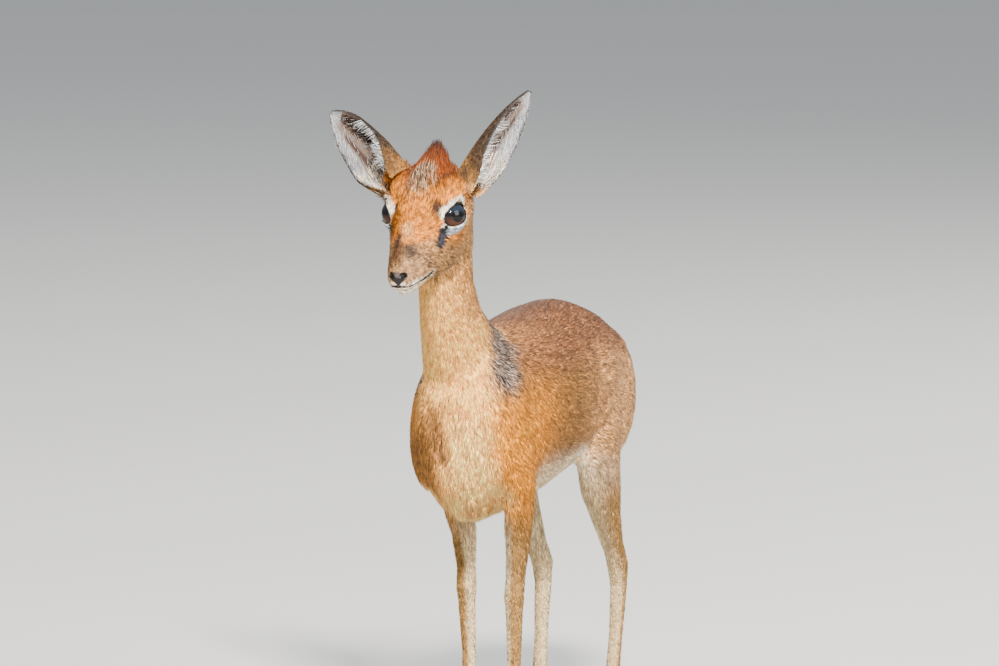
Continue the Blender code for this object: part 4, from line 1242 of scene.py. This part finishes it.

# %% [markdown]
# The crest is a cone of stiff hair that stands between the ears. Its locks are flat, bend together
# to one peak, are grizzled low down on the forehead and dark at the top, and high on her right
# slope, away from the key light, they are painted dark as shade. One lock is a bent strip with a
# diamond for its section, and all of them are made by the same function from a root, a tip and a
# bend. The crest's locks replace the fused ones of the solid.

# %% Locks that bend


def locks(name, roots, tips, sag, widths, thickness, root_colours, tip_colours, steps=5):
    """Bent tapered locks with four sides. sag bends each one to one side of the straight line."""
    count = len(roots)
    share = np.linspace(0.0, 1.0, steps + 1)
    line = roots[:, None] + (tips - roots)[:, None] * share[None, :, None]
    line = line + sag[:, None] * (4.0 * share * (1.0 - share))[None, :, None]
    way = np.gradient(line, axis=1)
    way /= np.linalg.norm(way, axis=2)[..., None]
    out = sag / np.maximum(np.linalg.norm(sag, axis=1), 1e-9)[:, None]
    across = np.cross(way, out[:, None])
    across /= np.maximum(np.linalg.norm(across, axis=2), 1e-9)[..., None]
    up = np.cross(across, way)
    taper = (1.0 - share) ** 0.6 * 0.94 + 0.06
    wide = across * (widths[:, None] * taper / 2.0)[..., None]
    thick = up * (thickness * taper / 2.0)[None, :, None]
    rings = np.stack([line + wide, line + thick, line - wide, line - thick], axis=2)
    points = rings.reshape(-1, 3)
    shape = []
    for step in range(steps):
        for i in range(4):
            a, b = step * 4 + i, step * 4 + (i + 1) % 4
            shape += [(a, b, b + 4), (a, b + 4, a + 4)]
    last = steps * 4
    shape += [(0, 2, 1), (0, 3, 2), (last, last + 1, last + 2), (last, last + 2, last + 3)]
    shape = np.array(shape)
    faces = (np.arange(count)[:, None, None] * (steps + 1) * 4 + shape).reshape(-1, 3)
    fade = np.repeat(smooth(share, 0.35, 1.0), 4)[None, :, None]
    colours = root_colours[:, None] * (1.0 - fade) + tip_colours[:, None] * fade
    home = generator.random((count, 2))
    corner = np.stack([np.tile([0.0, 0.3, 0.6, 0.9], steps + 1), np.repeat(share, 4)], axis=1) * TUFT_PATCH
    places = home[:, None, None, :] + corner[shape][None]
    thing = mesh_of(name, points, faces, colours.reshape(-1, 3), places.reshape(-1, 2))
    thing.data.materials.append(coat_finish.material)
    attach(thing, "root")
    print(name, "has", count, "locks")
    return thing


def skin_places(count, rule):
    """Seeded places on the skin's points that follow a rule, with their normals."""
    allowed = np.nonzero(rule)[0]
    picked = generator.choice(allowed, count, replace=count > len(allowed))
    return skin_points[picked], skin_normals[picked], picked


CREST_LOCKS = 1100
CREST_PEAK = (0.0032, -0.0215, 0.0548)
crest_rule = np.hypot((place_head[:, 0] - 0.001) / 0.0175, (place_head[:, 1] + 0.015) / 0.0200) < 1.0
crest_rule &= place_head[:, 2] > 0.024
roots, normals, picked = skin_places(CREST_LOCKS, crest_rule)
peak = np.array(head_point(*CREST_PEAK))
reach = np.linalg.norm(roots - peak, axis=1)
inner = smooth(reach, 0.030, 0.018)
target = peak + generator.normal(0.0, 0.0013, roots.shape)
lean = (target - roots) / reach[:, None] + normals * 0.10
lean += generator.normal(0.0, 0.05, roots.shape)
lean /= np.linalg.norm(lean, axis=1)[:, None]
long = np.minimum(reach * 1.04, 0.0065 + 0.0155 * inner) * generator.uniform(0.72, 1.08, CREST_LOCKS)
tips = roots + lean * long[:, None]
sag = normals * (long * 0.07)[:, None]
shade = np.exp(generator.normal(0.0, 0.34, CREST_LOCKS)).clip(0.35, 1.7)[:, None]
tip_side, tip_height = in_head(tips)[:, 0], in_head(tips)[:, 2]
# painted shade: high on her right, away from the key light, the crest is painted dark; the dark tips are its
# own colour
painted_shade_on_far_slope = smooth(tip_side, 0.004, -0.006) * smooth(tip_height, 0.036, 0.046)
dark_tips_and_painted_shade = np.maximum(smooth(tip_height, 0.0385, 0.0500), 0.85 * painted_shade_on_far_slope)[:, None]
grizzled = smooth(skin_grizzle[picked], 0.6, 1.2) * smooth(tip_height, 0.0465, 0.0400)
grizzled = grizzled[:, None]
base = skin_colour[picked] * grizzled + np.array(RUFOUS) * (1.0 - grizzled)
dark_ones = (generator.random(CREST_LOCKS) < 0.48 * grizzled[:, 0] + 0.06)[:, None]
base = np.where(dark_ones, base * DARK_HAIR, base) * shade
# painted shade: each lock is painted darker at its root than at its tip
crest_locks = locks(
    "crest_locks", roots - normals * 0.0010, tips, sag,
    generator.uniform(0.0005, 0.0010, CREST_LOCKS), 0.0004,
    base * 0.8, base * 1.2 * (1.0 - dark_tips_and_painted_shade) + np.array(RUFOUS_TIP) * dark_tips_and_painted_shade, 5
)
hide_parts("crest")

# %% [markdown]
# Each ear has hair of five kinds inside: a comb of long white hair that leans in from the front rim,
# a shorter white fringe on the other rim, soft down at the root, thin down over the bare skin, and
# a patch of dark hair behind the comb. All are rows of one table. Outside, short hair in the colours
# round it closes the seam between ear and crown.

# %% Fringes of the ears
# The count, the place across the cup from rim (-1) to front rim (1), the place along the ear, the
# colour, how far the hair leans to the middle of the cup, its shortest, its longest and its width
EAR_HAIR = {
    "white_comb": (330, (0.62, FAR_OFF), (0.12, 0.66), EAR_WHITE, 1.3, 0.0070, 0.0115, 0.00080),
    "white_fringe": (230, (-FAR_OFF, -0.66), (0.12, 0.97), EAR_WHITE, 0.9, 0.0040, 0.0078, 0.00070),
    "white_down": (420, (-1.0, 1.0), (0.06, 0.36), WHITE_HAIR, 0.3, 0.0050, 0.0100, 0.00060),
    "thin_down": (190, (-0.7, 0.7), (0.30, 0.98), EAR_WHITE, 0.5, 0.0040, 0.0080, 0.00040),
    "dark_hair": (460, (0.06, 0.78), (0.44, 0.88), EAR_DARK, 0.8, 0.0035, 0.0065, 0.00055),
}


def ear_hair(name, side, count, across_cup, along_ear, colour, inward, shortest, longest, width):
    """Hairs of one kind inside an ear."""
    root, axis, opening, across, length = ear_axes(side)
    share, edge, inside = in_ear(skin_points, side)
    front = edge * (1.0 if side == "right" else -1.0)
    rule = inside & (skin_parts["ear_" + side] > 0.5) & (share > along_ear[0]) & (share < along_ear[1])
    rule &= (front > across_cup[0]) & (front < across_cup[1])
    roots, normals, picked = skin_places(count, rule)
    ways = np.array(across) * (-np.sign(edge[picked]) * inward)[:, None]
    ways = ways + np.array(axis) * generator.uniform(0.45, 1.0, count)[:, None]
    ways = flat_on(normals, ways) + normals * generator.uniform(0.10, 0.45, count)[:, None]
    ways /= np.linalg.norm(ways, axis=1)[:, None]
    long = generator.uniform(shortest, longest, count) * smooth(share[picked], 1.04, 0.72)
    shade = np.exp(generator.normal(0.0, 0.50, count)).clip(0.2, 1.9)[:, None]
    # painted shade: each hair is painted darker at its root than at its tip
    thing = locks(
        name + "_" + side, roots - normals * TUFT_FOOT, roots + ways * long[:, None],
        normals * (long * 0.12)[:, None], generator.uniform(width * 0.7, width * 1.3, count), 0.00028,
        np.array(colour) * shade * 0.85, np.array(colour) * shade, 4
    )


def ear_root(side, count=480):
    """Short hair that closes the seam between an ear and the crown."""
    axis = np.array(ear_axes(side)[1])
    share = spread(skin.data, belongs(("ear_" + side,)), 16)
    share = np.maximum(share, 0.5 * (np.linalg.norm(place_head - EAR_HOLLOW, axis=1) < 0.0120))
    roots, normals, picked = skin_places(count, (share > 0.06) & (share < 0.80))
    ways = flat_on(normals, axis + generator.normal(0.0, 0.25, (count, 3))) + normals * 0.38
    ways /= np.linalg.norm(ways, axis=1)[:, None]
    long = generator.uniform(0.0045, 0.0085, count)[:, None]
    shade = np.exp(generator.normal(0.0, 0.40, count)).clip(0.3, 1.7)[:, None]
    colours = spread(skin.data, skin_colour, 40)[picked] * shade
    # painted shade: each tuft is painted darker at its root than at its tip
    tufts = locks(
        "ear_root_" + side, roots - normals * 0.0004, roots + ways * long, normals * long * 0.10,
        generator.uniform(0.0005, 0.0009, count), 0.0003, colours * 0.8, colours * 1.1, 3
    )


for side in ("left", "right"):
    for name, row in EAR_HAIR.items():
        ear_hair(name, side, *row)
    ear_root(side)

# %% [markdown]
# A dik dik's eye is nearly black, with a wide pupil that lies level and a very dark brown iris. The
# wet front of the eye mirrors the room. Its colour holds a painted reflection of the sky, a faint
# blue along its top, and the iris is brown only low down, a painted reflection of the ground. The
# ball is one sphere the size of the solid one, and its colours are rings round the way it looks.

# %% Eyes
for side in ("left", "right"):
    look = eye_axes(side)[0]
    bpy.ops.object.select_all(action="DESELECT")
    bpy.ops.mesh.primitive_uv_sphere_add(
        segments=96, ring_count=64, radius=EYE_RADIUS - 0.0001, location=eye_middle[side]
    )
    ball = bpy.context.object
    ball.name = "eyeball_" + side
    bpy.ops.object.shade_smooth()
    bpy.ops.object.transform_apply(location=True, rotation=True, scale=True)
    wet = Finish("eye_" + side, Roughness=0.05, Specular_IOR_Level=0.18, IOR=1.38)
    front = wet.node("ShaderNodeMapping", {"vector_type": "POINT"}, {
        "Vector": wet.place(), "Location": tuple(-x for x in eye_middle[side])
    })
    outward, height = [
        wet.node("ShaderNodeVectorMath", {"operation": "DOT_PRODUCT"}, {0: front, 1: tuple(way)}, "Value")
        for way in (look, UP)
    ]
    iris = wet.mask(outward, 0.0066, 0.0080)
    pupil = wet.mask(outward, 0.0104, 0.0110)
    # painted reflection: the iris keeps its own brown only on its lower part, as the ground's reflection
    # there
    lower_painted_reflection = wet.mask(height, 0.0005, -0.0050)
    brown = wet.mix(lower_painted_reflection, (0.006, 0.005, 0.005, 1.0), (0.036, 0.013, 0.007, 1.0))
    inner = wet.mix(pupil, brown, (0.003, 0.003, 0.003, 1.0))
    rim = wet.mix(iris, (0.012, 0.009, 0.008, 1.0), inner)
    # painted reflection: a faint blue of the sky painted along the top of the eye
    painted_sky_reflection = wet.mask(height, 0.0015, 0.0060)
    wet.drive("Base Color", wet.mix(0.8 * painted_sky_reflection, rim, (0.011, 0.017, 0.027, 1.0)))
    ball.data.materials.append(wet.material)
    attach(ball, "root")
    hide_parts("eye_" + side)
print("two eyes in place")

# %% [markdown]
# Black lashes stand out from the upper lid and sweep back. They start on the rim of the almond, are
# longest near its outer corner, and each is a bent lock a third of a millimetre wide.

# %% Lashes
LASHES = 46
for side in ("left", "right"):
    look, along, across = [np.array(way) for way in eye_axes(side)]
    sign = sign_of(side)
    turn = np.linspace(0.06, 0.80, LASHES) * math.pi + generator.normal(0.0, 0.02, LASHES)
    share = np.interp(np.degrees(turn), *zip(*LIDS)) * 1.03
    rim = along[None, :] * (np.cos(turn) * sign * share * EYE_OPENING[0])[:, None]
    rim = rim + across[None, :] * (np.sin(turn) * share * EYE_OPENING[1])[:, None]
    rim *= np.minimum(1.0, 0.97 * EYE_RADIUS / np.linalg.norm(rim, axis=1))[:, None]
    bulge = np.sqrt(np.maximum(EYE_RADIUS ** 2 - (rim ** 2).sum(axis=1), 0.0))
    roots = np.array(eye_middle[side]) + rim + look * (bulge + 0.0004)[:, None]
    outer = smooth(np.cos(turn), -0.8, 0.9)
    ways = look * 0.85 + across * 0.55 + along * (sign * (0.2 + 0.6 * outer))[:, None]
    ways += generator.normal(0.0, 0.08, (LASHES, 3))
    ways /= np.linalg.norm(ways, axis=1)[:, None]
    long = (0.0042 + 0.0040 * outer) * generator.uniform(0.8, 1.15, LASHES)
    black = np.tile(np.array(BARE_BLACK), (LASHES, 1))
    lashes = locks(
        "lashes_" + side, roots - look * 0.0006, roots + ways * long[:, None],
        -across * (long * 0.12)[:, None], np.full(LASHES, 0.00034), 0.00028, black, black, 4
    )

# %% [markdown]
# A hoof is horn that grows down from the hair, so its wall is smooth and faintly ringed. The solid
# claws have the right shape, so each is copied and its edges are rounded by a narrow bevel.

# %% Hooves
horn = Finish("hoof_horn", IOR=1.5)
ring_sockets = {"Vector": horn.place(), "Scale": 130.0, "Distortion": 3.0}
rings = horn.node("ShaderNodeTexWave", {"bands_direction": "Z"}, ring_sockets, "Fac")
wear = horn.noise(240.0, 3.0)
horn.drive("Base Color", horn.mix(wear, (0.030, 0.024, 0.021, 1.0), (0.066, 0.052, 0.043, 1.0)))
horn.drive("Roughness", 0.36 + 0.2 * wear)
horn.bump(rings + wear, 0.35, 0.0003)
for name in sorted(nodes):
    if "_hoof_" not in name:
        continue
    hoof = plain_copy(name, "horn_" + name)
    apply(hoof, "BEVEL", width=0.0006, segments=2, limit_method="ANGLE", angle_limit=math.radians(35.0))
    bpy.ops.object.shade_smooth_by_angle(angle=math.radians(50.0))
    hoof.data.materials.append(horn.material)
    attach(hoof, "root")
    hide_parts(name)
print("the hooves are shod in horn")
